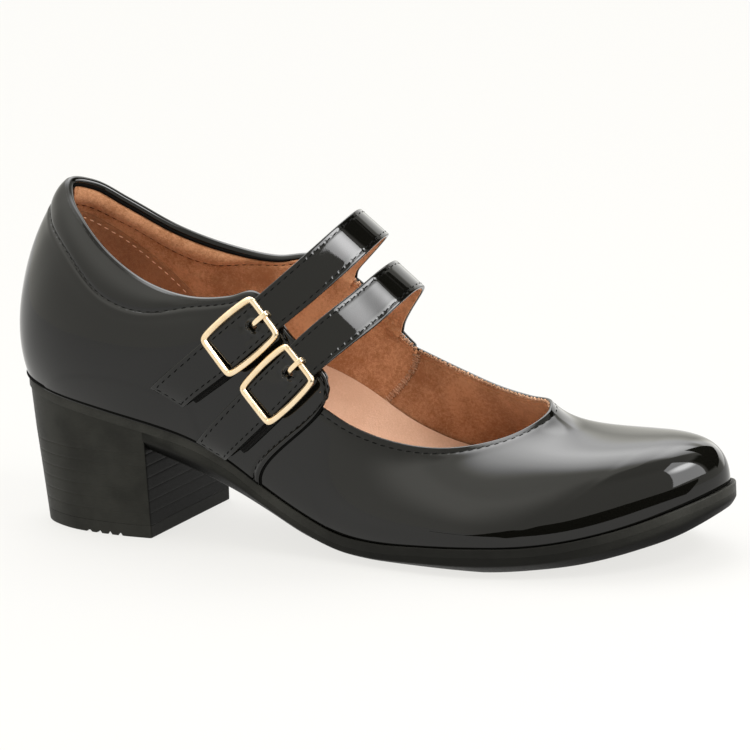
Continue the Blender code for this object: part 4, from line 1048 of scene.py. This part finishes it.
def strapSurface(key):
    # middle layer of the strap: it lies on the quarter, then spans to the inner topline
    folds, roots = strap["folds"][key], strap["roots"][key]
    steps, lanes, half = strap["steps"], strap["lanes"], strap["thickness"] / 2
    edges = []
    for column, root in zip((0, 2), roots):
        edge = []
        for row in folds:
            (along, height), side = row[column:column + 2], row[4]
            edge.append((along, wallSide(along, height) - row[5] - half if side is None else side, height))
        edges.append(np.array(edge + [rootPoint(root)]))
    knots = chords((edges[0] + edges[1]) / 2)
    at = np.linspace(0.0, knots[-1], steps + 1)
    pace = knots[-1] / steps
    rear, front = (soften(spline(knots, edge, at), 2.0 / pace) for edge in edges)
    share = np.linspace(0.0, 1.0, lanes + 1)[None, :, None]
    grid = rear[:, None] * (1 - share) + front[:, None] * share
    laid = sum(row[4] is None for row in folds)
    leaves = knots[laid - 1]
    lift = spline(knots[:laid], [row[5] for row in folds[:laid]], np.minimum(at, leaves))[:, 0]
    for i in np.nonzero(at < leaves)[0]:
        hold = min((leaves - at[i]) / strap["leaving"], 1.0)
        for spot in grid[i]:
            spot[1] += (wallSide(spot[0], spot[2]) - lift[i] - half - spot[1]) * hold
    blend = np.clip((at - knots[-2]) / (knots[-1] - knots[-2]), 0, 1)[:, None] ** 2
    for lane in range(1, lanes):
        root = rootPoint(roots[0] + (roots[1] - roots[0]) * lane / lanes)
        grid[:, lane] += blend * (root - grid[-1, lane])
    grid[:, :, 1] = soften(grid[:, :, 1], 1.2 / pace)
    return grid, knots


def rootStrap(surface, key, ending):
    # the strap carried on over the topline and down inside the quarter, its edges sweeping outwards there
    lanes = surface.shape[1]
    depth = np.linspace(*ending["depths"], 14)
    station = rootStation(np.linspace(*strap["roots"][key], lanes))
    point, normal, _ = quarterPanel.atDepth(station, np.repeat(depth[None, :], lanes, axis=0))
    sink = 1.0 + ending["sinks"] * ease(*ending["over"], depth)
    whole = np.concatenate([surface[:-2], np.moveaxis(point - normal * sink[:, None], 0, 1)])
    whole[-40:] = soften(whole[-40:], ending["soften"])
    arc = chords(whole[:, lanes // 2])
    root = arc[-1] - ending["depths"][1]
    flare = np.exp(-(np.maximum(root - arc, 0.0) / 2.4) ** 1.4) * ease(root + 2.5, root - 0.5, arc)
    ways = unit(whole[:, -1] - whole[:, 0])
    return whole + np.linspace(-1, 1, lanes)[:, None] * (ways * flare[:, None])[:, None], arc, root


def strapSection(width, low, high, rounding, inset):
    # one closed section of a band: distance from its rear edge and height over its middle layer
    turn = [(inset + rounding * (1 - math.cos(angle)), rounding * (1 - math.sin(angle)))
            for angle in np.linspace(0, math.pi / 2, 5)]
    flat = list(np.linspace(inset + rounding + 0.25, width / 2, 15))
    top = [(x, high - z) for x, z in turn] + [(x, high) for x in flat]
    bottom = [(x, low) for x in flat[::-1][::2]] + [(x, low + z) for x, z in turn[::-1]]
    mirrored = [(width - x, z) for x, z in top[::-1][1:] + bottom[::-1]]
    return np.array(top + mirrored + bottom)


def strapShell(surface, *shape):
    # the section carried along the surface
    widths = soften(np.linalg.norm(surface[:, -1] - surface[:, 0], axis=1)[:, None], 4.0)[:, 0]
    sections = np.array([strapSection(width, *shape) for width in widths])
    shares, heights = sections[..., 0] / widths[:, None], sections[..., 1]
    away = np.minimum(sections[..., 0], widths[:, None] - sections[..., 0])
    known = np.linspace(0, 1, surface.shape[1])

    def across(move):
        return np.array([spline(known, row, share + move) for row, share in zip(surface, shares)])

    grid = across(0.0)
    normal = unit(np.cross(np.gradient(grid, axis=0), unit(across(0.01) - across(-0.01))))
    return grid, normal * (-1 if normal[10, 5, 1] > 0 else 1), away, heights, widths, shares


def buckleAxes(key, surface):
    # its middle, then up the strap, across it and straight out; the two end bars rest on the strap
    along, height, tilt = buckle["place"][key]
    tilt = math.radians(tilt)
    upX, upZ = math.cos(tilt) * buckle["seatReach"], math.sin(tilt) * buckle["seatReach"]
    spots = [Vector((along + dx, wallSide(along + dx, height + dz), height + dz))
             for dx, dz in ((upX, upZ), (-upX, -upZ), (upZ, -upX), (-upZ, upX))]
    upStrap = (spots[0] - spots[1]).normalized()
    out = (spots[2] - spots[3]).normalized().cross(upStrap).normalized()
    if out.y > 0:
        out.negate()
    across = out.cross(upStrap).normalized()
    centre = sum(spots, Vector()) / len(spots)
    half = buckle["length"] / 2
    reaches = [Vector(spot) - centre for spot in surface.reshape(-1, 3)]
    seat = max(reach.dot(out) for reach in reaches
               if half - buckle["width"] < abs(reach.dot(upStrap)) < half)
    centre += out * (seat + strap["thickness"] / 2 + buckle["gap"] + buckle["thickness"] / 2)
    return tuple(np.array(way) for way in (centre, upStrap, across, out))


def placeOnBuckle(axes, places):
    # places along the buckle's own axes, turned into the shoe's
    centre, upStrap, across, out = axes
    places = np.asarray(places, float)
    return centre + places[..., :1] * upStrap + places[..., 1:2] * across + places[..., 2:] * out


def frameOutline():
    # barrel-shaped loop, its ends straight and its sides bowed, with the corners eased
    half, end, middle = buckle["length"] / 2, buckle["endWidth"] / 2, buckle["middleWidth"] / 2
    end += 1.1                        # easing the corners draws them in by about this much
    bow = np.linspace(-1, 1, 81)
    side = np.column_stack([bow * half, middle - (middle - end) * bow ** 2])
    across = np.column_stack([np.full(41, half), np.linspace(end, -end, 41)])[1:-1]
    loop = np.concatenate([side, across, side[::-1] * (1, -1), across[::-1] * (-1, 1), side[:1]])
    at = chords(loop)
    fine = np.linspace(0, at[-1], buckle["around"] * 4 + 1)
    points = softLoop(between(fine[:-1], at, loop), buckle["easing"] / fine[1], 80)[::4]
    tangent = unit(np.roll(points, -1, axis=0) - np.roll(points, 1, axis=0))
    inward = np.column_stack([tangent[:, 1], -tangent[:, 0]])
    return points, inward if (inward * points).sum() < 0 else -inward


def makeBuckle(key, axes):
    outline, inward = frameOutline()
    rows = [np.column_stack([outline + inward * inset, np.full(len(outline), height)])
            for inset, height in buckle["section"]]
    grid = np.stack(rows, axis=1)
    grid = np.concatenate([grid, grid[:1]])
    piece = gridPiece(f"buckle{key.title()}", placeOnBuckle(axes, grid), finishes["gold"])
    wear(piece, "gold_metal", f"buckle_{key}")


def makeProng(key, axes):
    # a hook round the bar, blunt at its tip, with a shallow groove along its top
    path = np.array(prong["path"]) + (buckle["length"] / 2 - buckle["width"] / 2, 0.0)
    knots = chords(path)
    at = np.linspace(0, knots[-1], 60)
    line = spline(knots, path, at)
    tangent = unit(np.gradient(line, axis=0))
    share = (at / knots[-1])[:, None]
    tip = ease(0.0, 0.10, share) * 0.75 + 0.25
    close = ease(0.0, 0.02, share) * ease(0.0, 0.02, 1 - share)
    angle = np.linspace(0, 2 * math.pi, 17)
    side, over = (np.abs(wave) ** 0.7 * np.where(wave > 0, 1, -1) for wave in (np.cos(angle), np.sin(angle)))
    width = prong["width"] * tip * close * side
    height = prong["thickness"] * (0.5 + 0.5 * tip) * close * over
    height -= np.where(height > 0, 0.22 * hump(angle, math.pi / 2, 0.22) * ease(0.25, 0.45, share), 0.0)
    along, above = line[:, :1] - tangent[:, 1:] * height, line[:, 1:] + tangent[:, :1] * height
    grid = np.stack([along, width, above], axis=-1)
    piece = gridPiece(f"prong{key.title()}", placeOnBuckle(axes, grid), finishes["gold"])
    wear(piece, "gold_metal", f"prong_{key}")


def closeRing(grid):
    return np.concatenate([grid, grid[:, :1]], axis=1)


def prongDent(placed, axes):
    # the prong's hole, and the leather crumpled round it
    upStrap, across, out = axes[1:]
    hole = buckle["length"] / 2 - buckle["width"] / 2 - prong["reach"]
    local = placed - placeOnBuckle(axes, (hole, 0.0, 0.0))
    flat = local - (local @ out)[..., None] * out
    u, v = flat @ upStrap, flat @ across
    away, turn = np.sqrt(u * u + v * v), np.arctan2(v, u)
    crumple = 0.8 * hump(away, 1.9, 0.5) * (1 + 0.35 * np.sin(3 * turn + 1.0))
    crumple += 0.22 * hump(away, 3.4, 0.9) * np.sin(4 * turn + 0.6) * (u < 2.0)
    return crumple - 1.2 * ease(1.35, 0.95, away)


def makeStrapLeather(key, surface, axes):
    surface, arc, root = rootStrap(surface, key, strap["leatherEnd"])
    bottom = strap["liningPart"] - 1.0
    grid, normal, away, heights, widths, shares = strapShell(surface, bottom, 1.0, 0.42, 0.0)
    top, row = heights > 0.5, strap["stitchInset"]
    relief = hump(away, row, 0.38) + hump(arc[:, None], row, 0.4) * ease(row - 0.8, row, away)
    thin = 1 - 0.62 * ease(root - 5.0, root + 2.5, arc)
    z = heights * thin[:, None] - np.where(top, strap["groove"] * relief, 0.0)
    z = 0.15 + (z - 0.15) * np.sqrt(ease(0.0, 0.45, arc)[:, None])
    placed = grid + normal * z[..., None]
    placed = placed + normal * (top * prongDent(placed, axes))[..., None]
    # lines for the thread: down both edges, then across the loose end
    lanes = []
    for low, high in ((0.0, 0.5), (0.5, 1.0)):
        onSide = top[60] & (shares[60] > low) & (shares[60] < high)
        lanes.append(int(np.argmin(np.where(onSide, np.abs(away[60] - row), 99.0))))
    lines = [(placed[:, lane], normal[:, lane], arc, row + 0.8, root - 2.0) for lane in lanes]
    end, between = int(np.argmin(np.abs(arc - row))), slice(lanes[0], lanes[1] + 1)
    lines.append((placed[end, between], normal[end, between], shares[end, between] * widths[end],
                  row, widths[end] - row))
    asideRow = np.where(top, np.abs(away - row), 9.0)
    asideEnd = np.where(top & (away > row - 0.3), np.abs(arc[:, None] - row), 9.0)
    layers = {"stitchAlong": closeRing(np.where(asideEnd < asideRow, away, arc[:, None])),
              "stitchAside": closeRing(np.minimum(asideEnd, asideRow))}
    piece = gridPiece(f"strap{key.title()}Leather", closeRing(placed), finishes["patent"], layers=layers)
    wear(piece, "patent_leather", f"strap_{key}")
    return lines


def makeStrapLining(key, surface):
    surface, arc, root = rootStrap(surface, key, strap["liningEnd"])
    grid, normal, _, heights, _, _ = strapShell(surface, -1.0, strap["liningPart"] - 0.8, 0.2, 0.28)
    thin = 1 - 0.62 * ease(root - 5.0, root + 2.0, arc)
    z = -0.45 + (heights * thin[:, None] + 0.45) * np.sqrt(ease(0.3, 0.8, arc)[:, None])
    placed = closeRing(grid + normal * z[..., None])
    piece = gridPiece(f"strap{key.title()}Lining", placed, finishes["lining"])
    wear(piece, "lining_suede", f"strap_{key}")


def makeElastic(key, surface, knots):
    # strip between the strap and the quarter, showing below the strap's lower edge
    arc = chords((surface[:, 0] + surface[:, -1]) / 2)
    at = np.linspace(knots[1] * elastic["from"][key], knots[2] * elastic["to"], 90)
    rear, front = spline(arc, surface[:, 0], at), spline(arc, surface[:, -1], at)
    lanes = np.linspace(elastic["reach"], -elastic["shows"][key], elastic["lanes"])
    spots = front[:, None] - unit(front - rear)[:, None] * lanes[None, :, None]
    for spot in spots.reshape(-1, 3):
        spot[1] = wallSide(spot[0], spot[2])
    spots[:, :, 1] = soften(spots[:, :, 1], 2.0)
    # down its back, round its front edge, up its face and back to the start
    count = np.arange(len(lanes))
    order = np.concatenate([count, count[-1:], count[::-1], count[:1]])
    low, high = elastic["lift"], elastic["lift"] + elastic["thickness"]
    rise = np.concatenate([0 * count + low, [high - elastic["round"]], 0 * count + high, [low]])
    flat = spots[:, order] - (0.0, low, 0.0)
    ring = spots[:, order] - rise[:, None] * (0.0, 1.0, 0.0)
    ring = np.concatenate([flat[:1], ring, flat[-1:]])
    webAlong = np.concatenate([at[:1], at, at[-1:]])[:, None] + 0 * ring[..., 0]
    webAcross = lanes[order] + 0 * ring[..., 0]
    piece = gridPiece(f"elastic{key.title()}", ring, finishes["webbing"],
                      layers={"webAlong": webAlong, "webAcross": webAcross})
    wear(piece, "elastic_webbing", f"elastic_{key}")


threadLines = {}
for key in strap["folds"]:
    surface, knots = strapSurface(key)
    axes = buckleAxes(key, surface)
    threadLines[key] = makeStrapLeather(key, surface, axes)
    makeStrapLining(key, surface)
    makeBuckle(key, axes)
    makeProng(key, axes)
    makeElastic(key, surface, knots)
print("straps buckled")


# short threads that dip into the leather between two needle holes
thread = {"length": 1.9, "width": 0.5, "height": 0.36, "lean": 5.0, "sunk": 0.05}


def alongLine(line, outward, measure, first, last):
    # places for stitches on a line of points: middle, direction and outward normal
    marks = stitchPitch * np.arange(math.ceil(first / stitchPitch), math.floor(last / stitchPitch) + 1)

    way = unit(between(marks + 1.0, measure, line) - between(marks - 1.0, measure, line))
    return list(zip(between(marks, measure, line), way, unit(between(marks, measure, outward))))


def makeStitches(name, places, finish, slot):
    mesh = bmesh.new()
    for number, (spot, way, out) in enumerate(places):
        way, out = Vector(way), Vector(out)
        lean = thread["lean"] + 2.5 * math.sin(number * 2.3)
        way = Matrix.Rotation(math.radians(lean), 3, out) @ way
        side = way.cross(out).normalized()
        out = side.cross(way).normalized()
        middle = Vector(spot) - out * thread["sunk"]
        middle.x -= heelMiddle
        size = Matrix.Diagonal((thread["width"] / 2, thread["height"] / 2, thread["length"] / 2)) * mm
        turned = (Matrix((side, out, way)).transposed() @ size).to_4x4()
        turned.translation = middle * mm
        bmesh.ops.create_uvsphere(mesh, u_segments=6, v_segments=6, radius=1.0, matrix=turned)
    wear(finishPiece(name, mesh, finish, 180), slot)


def rowOnSkin(panel, spec, guide, first, last):
    # the row round a topline
    station, row = guide["station"], guide["rowDepth"][:, None]
    point, normal, _ = panel.atDepth(station, row)
    relief = outerRelief(spec, station, row, guide["rowDepth"], np.full(len(station), 9.0))
    point = point + normal * (guide["overlay"][:, None] + relief)[..., None]
    ends = np.interp((first, last), station, guide["along"])
    return alongLine(point[:, 0], normal[:, 0], guide["along"], *ends)


def rowDownSeam(station):
    # the row down one front edge of the quarter
    total = float(quarterPanel.total(station)[0])
    depth = np.linspace(2.0, total - 0.5, 120)
    point, normal, _ = quarterPanel.atDepth(np.array([station]), depth[None, :])
    point = point + normal * (quarter["overlay"] - seamEdge["groove"])
    return alongLine(point[0], normal[0], depth, 3.4, total - 1.5)


def rowInside(station, depth, sunk):
    # a row seen on the quarter's lining
    point, normal, _ = quarterPanel.atDepth(station, depth[:, None])
    point = point - normal * sunk
    measure = chords(point[:, 0])
    return alongLine(point[:, 0], -normal[:, 0], measure, 1.0, measure[-1] - 1.0)


seamShift = seamEdge["row"] / lastShape["stationLength"]
outsideRows = rowOnSkin(quarterPanel, quarter, quarterGuide, 3.0 + seamShift, 5.0 - seamShift)
outsideRows += rowOnSkin(vampPanel, vamp, vampGuide, 1.0, 3.0)
outsideRows += rowDownSeam(3.0 + seamShift) + rowDownSeam(5.0 - seamShift)
for key in threadLines:
    for line in threadLines[key]:
        outsideRows += alongLine(*line)
makeStitches("blackStitches", outsideRows, finishes["blackThread"], "patent_leather")
collarStations = np.linspace(3.38, 4.60, 500)
collarRow = rowInside(collarStations, softByStation(quarter["row"], collarStations), lining["inside"] - 0.08)
makeStitches("collarStitches", collarRow, finishes["blackThread"], "patent_leather")
gripRow = rowInside(gripStation, gripTop + 2.0, grip["inside"] + 0.8 * grip["height"])
makeStitches("gripStitches", gripRow, finishes["tanThread"], "lining_suede")


def tube(name, line, outward, across, radii, finish, slot):
    # radii: a row for each point of the line, a column for each turn
    around = outward[:, None] * np.cos(tubeTurns)[:, None] + across[:, None] * np.sin(tubeTurns)[:, None]
    wear(gridPiece(name, line[:, None] + radii[..., None] * around, finish), slot)


tubeTurns = np.linspace(0, 2 * math.pi, 10)


def crosswise(line, outward):
    return unit(np.cross(np.gradient(line, axis=0), outward))


def fuzzyEdge(name, line, outward, radius, wide=1.0, wander=0.5):
    # a cut edge of the lining: a thin uneven roll of nap
    across = crosswise(line, outward)
    at = chords(line)
    sway = wander * radius * (np.sin(at * 3.3) + np.sin(at * 5.9 + 1.4) * np.sin(at * 0.9))
    rough = 0.6 * np.sin(at * 4.1) * np.sin(at * 1.3 + 1.0) + 0.7 * np.sin(at * 9.7 + 2.0 * np.sin(at * 2.9))
    uneven = 1 + 0.5 * rough[:, None] + 0.35 * np.sin(at[:, None] * 7.3 + 3 * tubeTurns)
    line = line + across * sway[:, None]
    tube(name, line, outward, across * wide, radius * uneven, finishes["nap"], "lining_suede")


def liningLine(panel, spec, shape, stations, lower, rise):
    # the upper edge of the lining
    station = np.linspace(*stations, 620)
    depth = (softByStation(shape["band"], station) + lower)[:, None]
    point, normal, _ = panel.atDepth(station, depth)
    return point[:, 0] - normal[:, 0] * (spec["inside"] + rise), -normal[:, 0]


# name, stations, below the edge, above the lining, radius
for name, stations, lower, rise, radius in (("throatNapInner", (2.06, 3.0), -0.3, -0.25, 0.4),
                                            ("throatNapOuter", (1.0, 1.55), 0.25, 0.12, 0.4)):
    fuzzyEdge(name, *liningLine(vampPanel, vampLining, vamp, stations, lower, rise), radius)
for name, stations, lower, rise, radius in (("tabNapInner", (2.99, 3.36), -0.5, -0.5, 0.55),
                                            ("tabNapOuter", (4.62, 4.93), 0.3, 0.1, 0.36)):
    fuzzyEdge(name, *liningLine(quarterPanel, lining, quarter, stations, lower, rise), radius)
seamStation = 2.988
seamDepth = np.linspace(1.2, float(quarterPanel.total(seamStation)[0]) - 6.0, 300)
seamPoint, seamNormal, _ = quarterPanel.atDepth(np.array([seamStation]), seamDepth[None, :])
seamLine = seamPoint[0] - seamNormal[0] * (lining["inside"] + 0.05)
fuzzyEdge("liningSeam", seamLine, -seamNormal[0], 0.34, 3.0, 0.0)


def darkBead(name, line, outward, radius, slot="sole_rubber"):
    # painted shade: a matt black bead standing for the shade in the corner between two pieces, where no
    # light gets in
    radii = radius[:, None] + 0 * tubeTurns
    tube(name, line, outward, crosswise(line, outward), radii, finishes["shadeBead"], slot)


def footBead(name, panel, stations, overlay, radius, ends):
    # painted shade round the foot of a panel, thinner towards its ends
    station = np.linspace(*stations, 520)
    point, normal, _ = panel.frame(station, np.zeros(len(station)))
    outward = unit(normal * (1.0, 1.0, 0.0))
    fromEnd = np.minimum(station - stations[0], stations[1] - station)
    size = ends + (radius - ends) * ease(0.0, 0.3, fromEnd)
    darkBead(name, point + outward * overlay + np.outer(0.75 * size, (0.0, 0.0, 1.0)), outward, size)


def seamBead(name, station, way):
    # painted shade down a front edge of the quarter, in the corner it makes with the vamp
    depth = np.linspace(1.4, float(quarterPanel.total(station)[0]) - 0.3, 200)
    beside = np.array([station + way * 0.25 / lastShape["stationLength"]])
    point, normal, _ = quarterPanel.atDepth(beside, depth[None, :])
    darkBead(name, point[0] + 0.1 * normal[0], normal[0], np.full(len(depth), 0.42))


footBead("quarterFootShadow", quarterPanel, (3.0, 5.0), 1.2, 0.5, 0.25)
# painted shade: a black bead along the top of the quarter's lining, under the folded band
collarLine, collarOut = liningLine(quarterPanel, lining, quarter, (3.40, 4.60), -0.55, 0.0)
collarRadius = 0.6 * np.sin(np.linspace(0.0, math.pi, len(collarLine))) ** 0.15
darkBead("collarShadow", collarLine, collarOut, collarRadius, "patent_leather")
footBead("vampFootShadow", vampPanel, (1.0, 3.0), 0.0, 0.2, 0.2)
seamBead("outerSeamShadow", 5.0, 1.0)
seamBead("innerSeamShadow", 3.0, -1.0)
print("stitched", len(outsideRows) + len(collarRow))


def makeFloor():
    mesh = bmesh.new()
    bmesh.ops.create_grid(mesh, x_segments=8, y_segments=8, size=3.0)
    # a lit table keeps shadows faint
    material, _, _ = newFinish("paleFloor", {
        "Base Color": (0.12, 0.12, 0.12, 1.0), "Roughness": 0.9, "Specular IOR Level": 0.0,
        "Emission Color": (1.0, 0.99, 0.96, 1.0), "Emission Strength": 0.76})
    finishPiece("floor", mesh, material)


def hideCard(name, mesh):
    # black, and it only shows as a reflection
    material, _, _ = newFinish("cardBlack", {
        "Base Color": (0.004, 0.004, 0.004, 1.0), "Roughness": 1.0, "Specular IOR Level": 0.0})
    card = finishPiece(name, mesh, material)
    card.visible_camera = card.visible_diffuse = card.visible_shadow = False


def makeDarkWall(spec):
    # a low black screen round the toe
    mesh = bmesh.new()
    foot, head = (bmesh.ops.create_vert(mesh, co=Vector((spec["reach"], 0.0, spec[end])))["vert"][0]
                  for end in ("low", "high"))
    edge = mesh.edges.new((foot, head))
    first, last = (math.radians(turn - 90) for turn in spec["turns"])
    bmesh.ops.rotate(mesh, verts=[foot, head], matrix=Matrix.Rotation(first, 3, "Z"))
    bmesh.ops.spin(mesh, geom=[foot, head, edge], axis=(0, 0, 1), cent=(0, 0, 0), angle=last - first,
                   steps=62)
    bmesh.ops.translate(mesh, verts=mesh.verts, vec=Vector((spec["middle"], 0.0, 0.0)))
    tall = spec["high"] - spec["low"]
    for vertex in mesh.verts:
        turn = math.degrees(math.atan2(vertex.co.x - spec["middle"], -vertex.co.y))
        if vertex.co.z > spec["low"] + 0.001:
            rise = 0.02 + 0.98 * float(ease(*spec["rises"], turn))
            vertex.co.z = spec["low"] + tall * rise * (1 - 0.3 * float(ease(*spec["falls"], turn)))
        else:
            vertex.co.z += 0.56 * tall * float(ease(*spec["slants"], turn))
    hideCard("blackScreen", mesh)


def makeDarkCard(spec):
    # an upright black card on the inner side, which keeps the toe's arc dark
    mesh = bmesh.new()
    bmesh.ops.create_grid(mesh, x_segments=1, y_segments=1, size=0.5)
    (low, high), (bottom, top) = spec["across"], spec["up"]
    bmesh.ops.scale(mesh, verts=mesh.verts, vec=Vector((high - low, top - bottom, 1.0)))
    bmesh.ops.rotate(mesh, verts=mesh.verts, matrix=Matrix.Rotation(math.pi / 2, 3, "X"))
    middle = Vector(((low + high) / 2, spec["away"], (bottom + top) / 2))
    bmesh.ops.translate(mesh, verts=mesh.verts, vec=middle)
    hideCard("blackCard", mesh)


# places in metres, turns in degrees from straight outwards, round by the toe
makeFloor()
makeDarkWall({"middle": 0.17, "reach": 0.21, "low": 0.001, "high": 0.086, "turns": (-36.0, 84.0),
              "rises": (-24.0, 6.0), "falls": (20.0, 60.0), "slants": (74.0, 86.0)})
makeDarkCard({"across": (0.217, 0.45), "up": (0.083, 0.31), "away": 0.15})

studio = {
    "wall": 1.04, "wallHigh": 0.75, "dim": 0.80, "top": 1.5, "topDim": 0.66, "card": 0.02,
    # where the lamps are aimed and how far from there they fade, in degrees of turn and lift
    "lamps": (((-140.0, 62.0), (10.0, 28.0), 3.0), ((-150.0, 50.0), (12.0, 36.0), 1.9)),
    # soft-edged panels: edges in turn, edges in lift, light added
    "panels": (((146.0, 158.0, 186.0, 195.0), (-18.0, -8.0, 32.0, 38.0), 1.7),
               ((146.0, 158.0, 184.0, 200.0), (42.0, 50.0, 72.0, 80.0), 2.8)),
    "toToe": (-26.0, 2.0, 186.0, 194.0), "blackTurn": (98.0, 103.0, 129.0, 140.0),
    "blackLift": (12.0, 18.0, 54.0, 62.0),
}
sidePanel = {
    "middle": (0.661, -0.104, 0.0), "turn": 82.0, "strength": 5.0,
    # its corners, sideways from the middle and up from the floor
    "corners": ((-0.145, 0.15), (0.153, 0.15), (-0.166, 0.95), (0.135, 1.60)),
    "core": (0.03, 0.66), "fades": (0.06, 0.24), "coreStrength": 12.0,
}


def aimed(turn, lift):
    turn, lift = math.radians(turn), math.radians(lift)
    return Vector((math.sin(turn) * math.cos(lift), -math.cos(turn) * math.cos(lift), math.sin(lift)))


def within(tree, value, edges):
    # 1 between the two middle edges, fading to 0 at the outer ones
    rising = spread(tree, value, edges[0], edges[1])
    return times(tree, rising, spread(tree, value, edges[2], edges[3], 1.0, 0.0))


def makeStudio():
    # a pale room, darker towards the toe, with two soft panels, a black card and two soft lamps behind
    world = bpy.data.worlds.new("studio")
    bpy.context.scene.world = world
    world.use_nodes = True
    tree = world.node_tree

    def inDegrees(operation, a, b=0.0):
        return times(tree, calc(tree, operation, a, b), 180 / math.pi)

    way = addNode(tree, "ShaderNodeTexCoord").outputs["Generated"]
    axes = addNode(tree, "ShaderNodeSeparateXYZ", None, Vector=way).outputs
    turnOf = inDegrees("ARCTAN2", axes[0], times(tree, axes[1], -1.0))
    behind = times(tree, calc(tree, "LESS_THAN", turnOf, -120.0), 360.0)
    turnOf = plus(tree, turnOf, behind)
    liftOf = inDegrees("ARCSINE", axes[2])
    toToe = within(tree, turnOf, studio["toToe"])
    lifted = times(tree, spread(tree, liftOf, 15.0, 50.0, 0.0, studio["wallHigh"]),
                  calc(tree, "SUBTRACT", 1.0, toToe))
    room = plus(tree, spread(tree, toToe, 0.0, 1.0, studio["wall"], studio["dim"], False), lifted)
    above = spread(tree, toToe, 0.0, 1.0, studio["top"], studio["topDim"], False)
    high = spread(tree, liftOf, 58.0, 72.0)
    room = plus(tree, times(tree, room, calc(tree, "SUBTRACT", 1.0, high)),
                times(tree, above, high))
    black = times(tree, within(tree, turnOf, studio["blackTurn"]),
                 within(tree, liftOf, studio["blackLift"]))
    room = times(tree, room, spread(tree, black, 0.0, 1.0, 1.0, studio["card"], False))
    for turns, lifts, strength in studio["panels"]:
        panel = times(tree, within(tree, turnOf, turns), within(tree, liftOf, lifts))
        room = calc(tree, "MULTIPLY_ADD", panel, strength, room)
    for aim, fades, strength in studio["lamps"]:
        towards = addNode(tree, "ShaderNodeVectorMath", {"operation": "DOT_PRODUCT"}, i0=way, i1=aimed(*aim))
        off = inDegrees("ARCCOSINE", calc(tree, "MINIMUM", towards.outputs["Value"], 1.0))
        room = plus(tree, room, spread(tree, off, *fades, strength, 0.0))
    backdrop = tree.nodes["Background"]
    plug(tree, colourBetween(tree, room, 1.6, 3.2, (1.0, 0.985, 0.91), (1.0, 1.0, 1.0)),
         backdrop.inputs["Color"])
    plug(tree, room, backdrop.inputs["Strength"])


def makeSidePanel(spec):
    # a tall lit panel beside the toe, facing the shoe
    mesh = bmesh.new()
    bmesh.ops.create_grid(mesh, x_segments=1, y_segments=1, size=1.0)
    sideways = Vector((0.0, 0.0, 1.0)).cross(aimed(spec["turn"], 0.0))

    def onPanel(across, height):
        return Vector(spec["middle"]) + sideways * across + Vector((0.0, 0.0, height))

    for vertex, corner in zip(mesh.verts, spec["corners"]):
        vertex.co = onPanel(*corner)
    material, tree, shader = newFinish("panelLight", {
        "Base Color": (0.0, 0.0, 0.0, 1.0), "Specular IOR Level": 0.0,
        "Emission Color": (1.0, 1.0, 1.0, 1.0)})
    place = addNode(tree, "ShaderNodeTexCoord").outputs["Object"]
    core = onPanel(*spec["core"])
    off = addNode(tree, "ShaderNodeVectorMath", {"operation": "DISTANCE"}, i0=place, i1=core)
    bright, plain = spec["strength"] + spec["coreStrength"], spec["strength"]
    plug(tree, spread(tree, off.outputs["Value"], *spec["fades"], bright, plain),
         shader.inputs["Emission Strength"])
    panel = finishPiece("sidePanel", mesh, material)
    panel.visible_camera = panel.visible_shadow = False


makeStudio()
makeSidePanel(sidePanel)
print("stage set")

camera = {
    "turn": 24.7, "lift": 14.5, "roll": -2.82, "away": 2.0, "aim": (0.0944, 0.0, 0.05375), "lens": 292.32,
}
back = aimed(camera["turn"], camera["lift"])
right = aimed(camera["turn"] + 90.0, 0.0)
lens = bpy.data.cameras.new("camera")
lens.lens, lens.sensor_width, lens.clip_start = camera["lens"], 36.0, 0.05
eye = bpy.data.objects.new("camera", lens)
facing = Matrix((right, back.cross(right), back)).transposed()
facing @= Matrix.Rotation(math.radians(camera["roll"]), 3, "Z")
eye.matrix_world = Matrix.Translation(Vector(camera["aim"]) + back * camera["away"]) @ facing.to_4x4()
bpy.context.scene.collection.objects.link(eye)
bpy.context.scene.camera = eye
bpy.context.scene.view_settings.view_transform = "Standard"
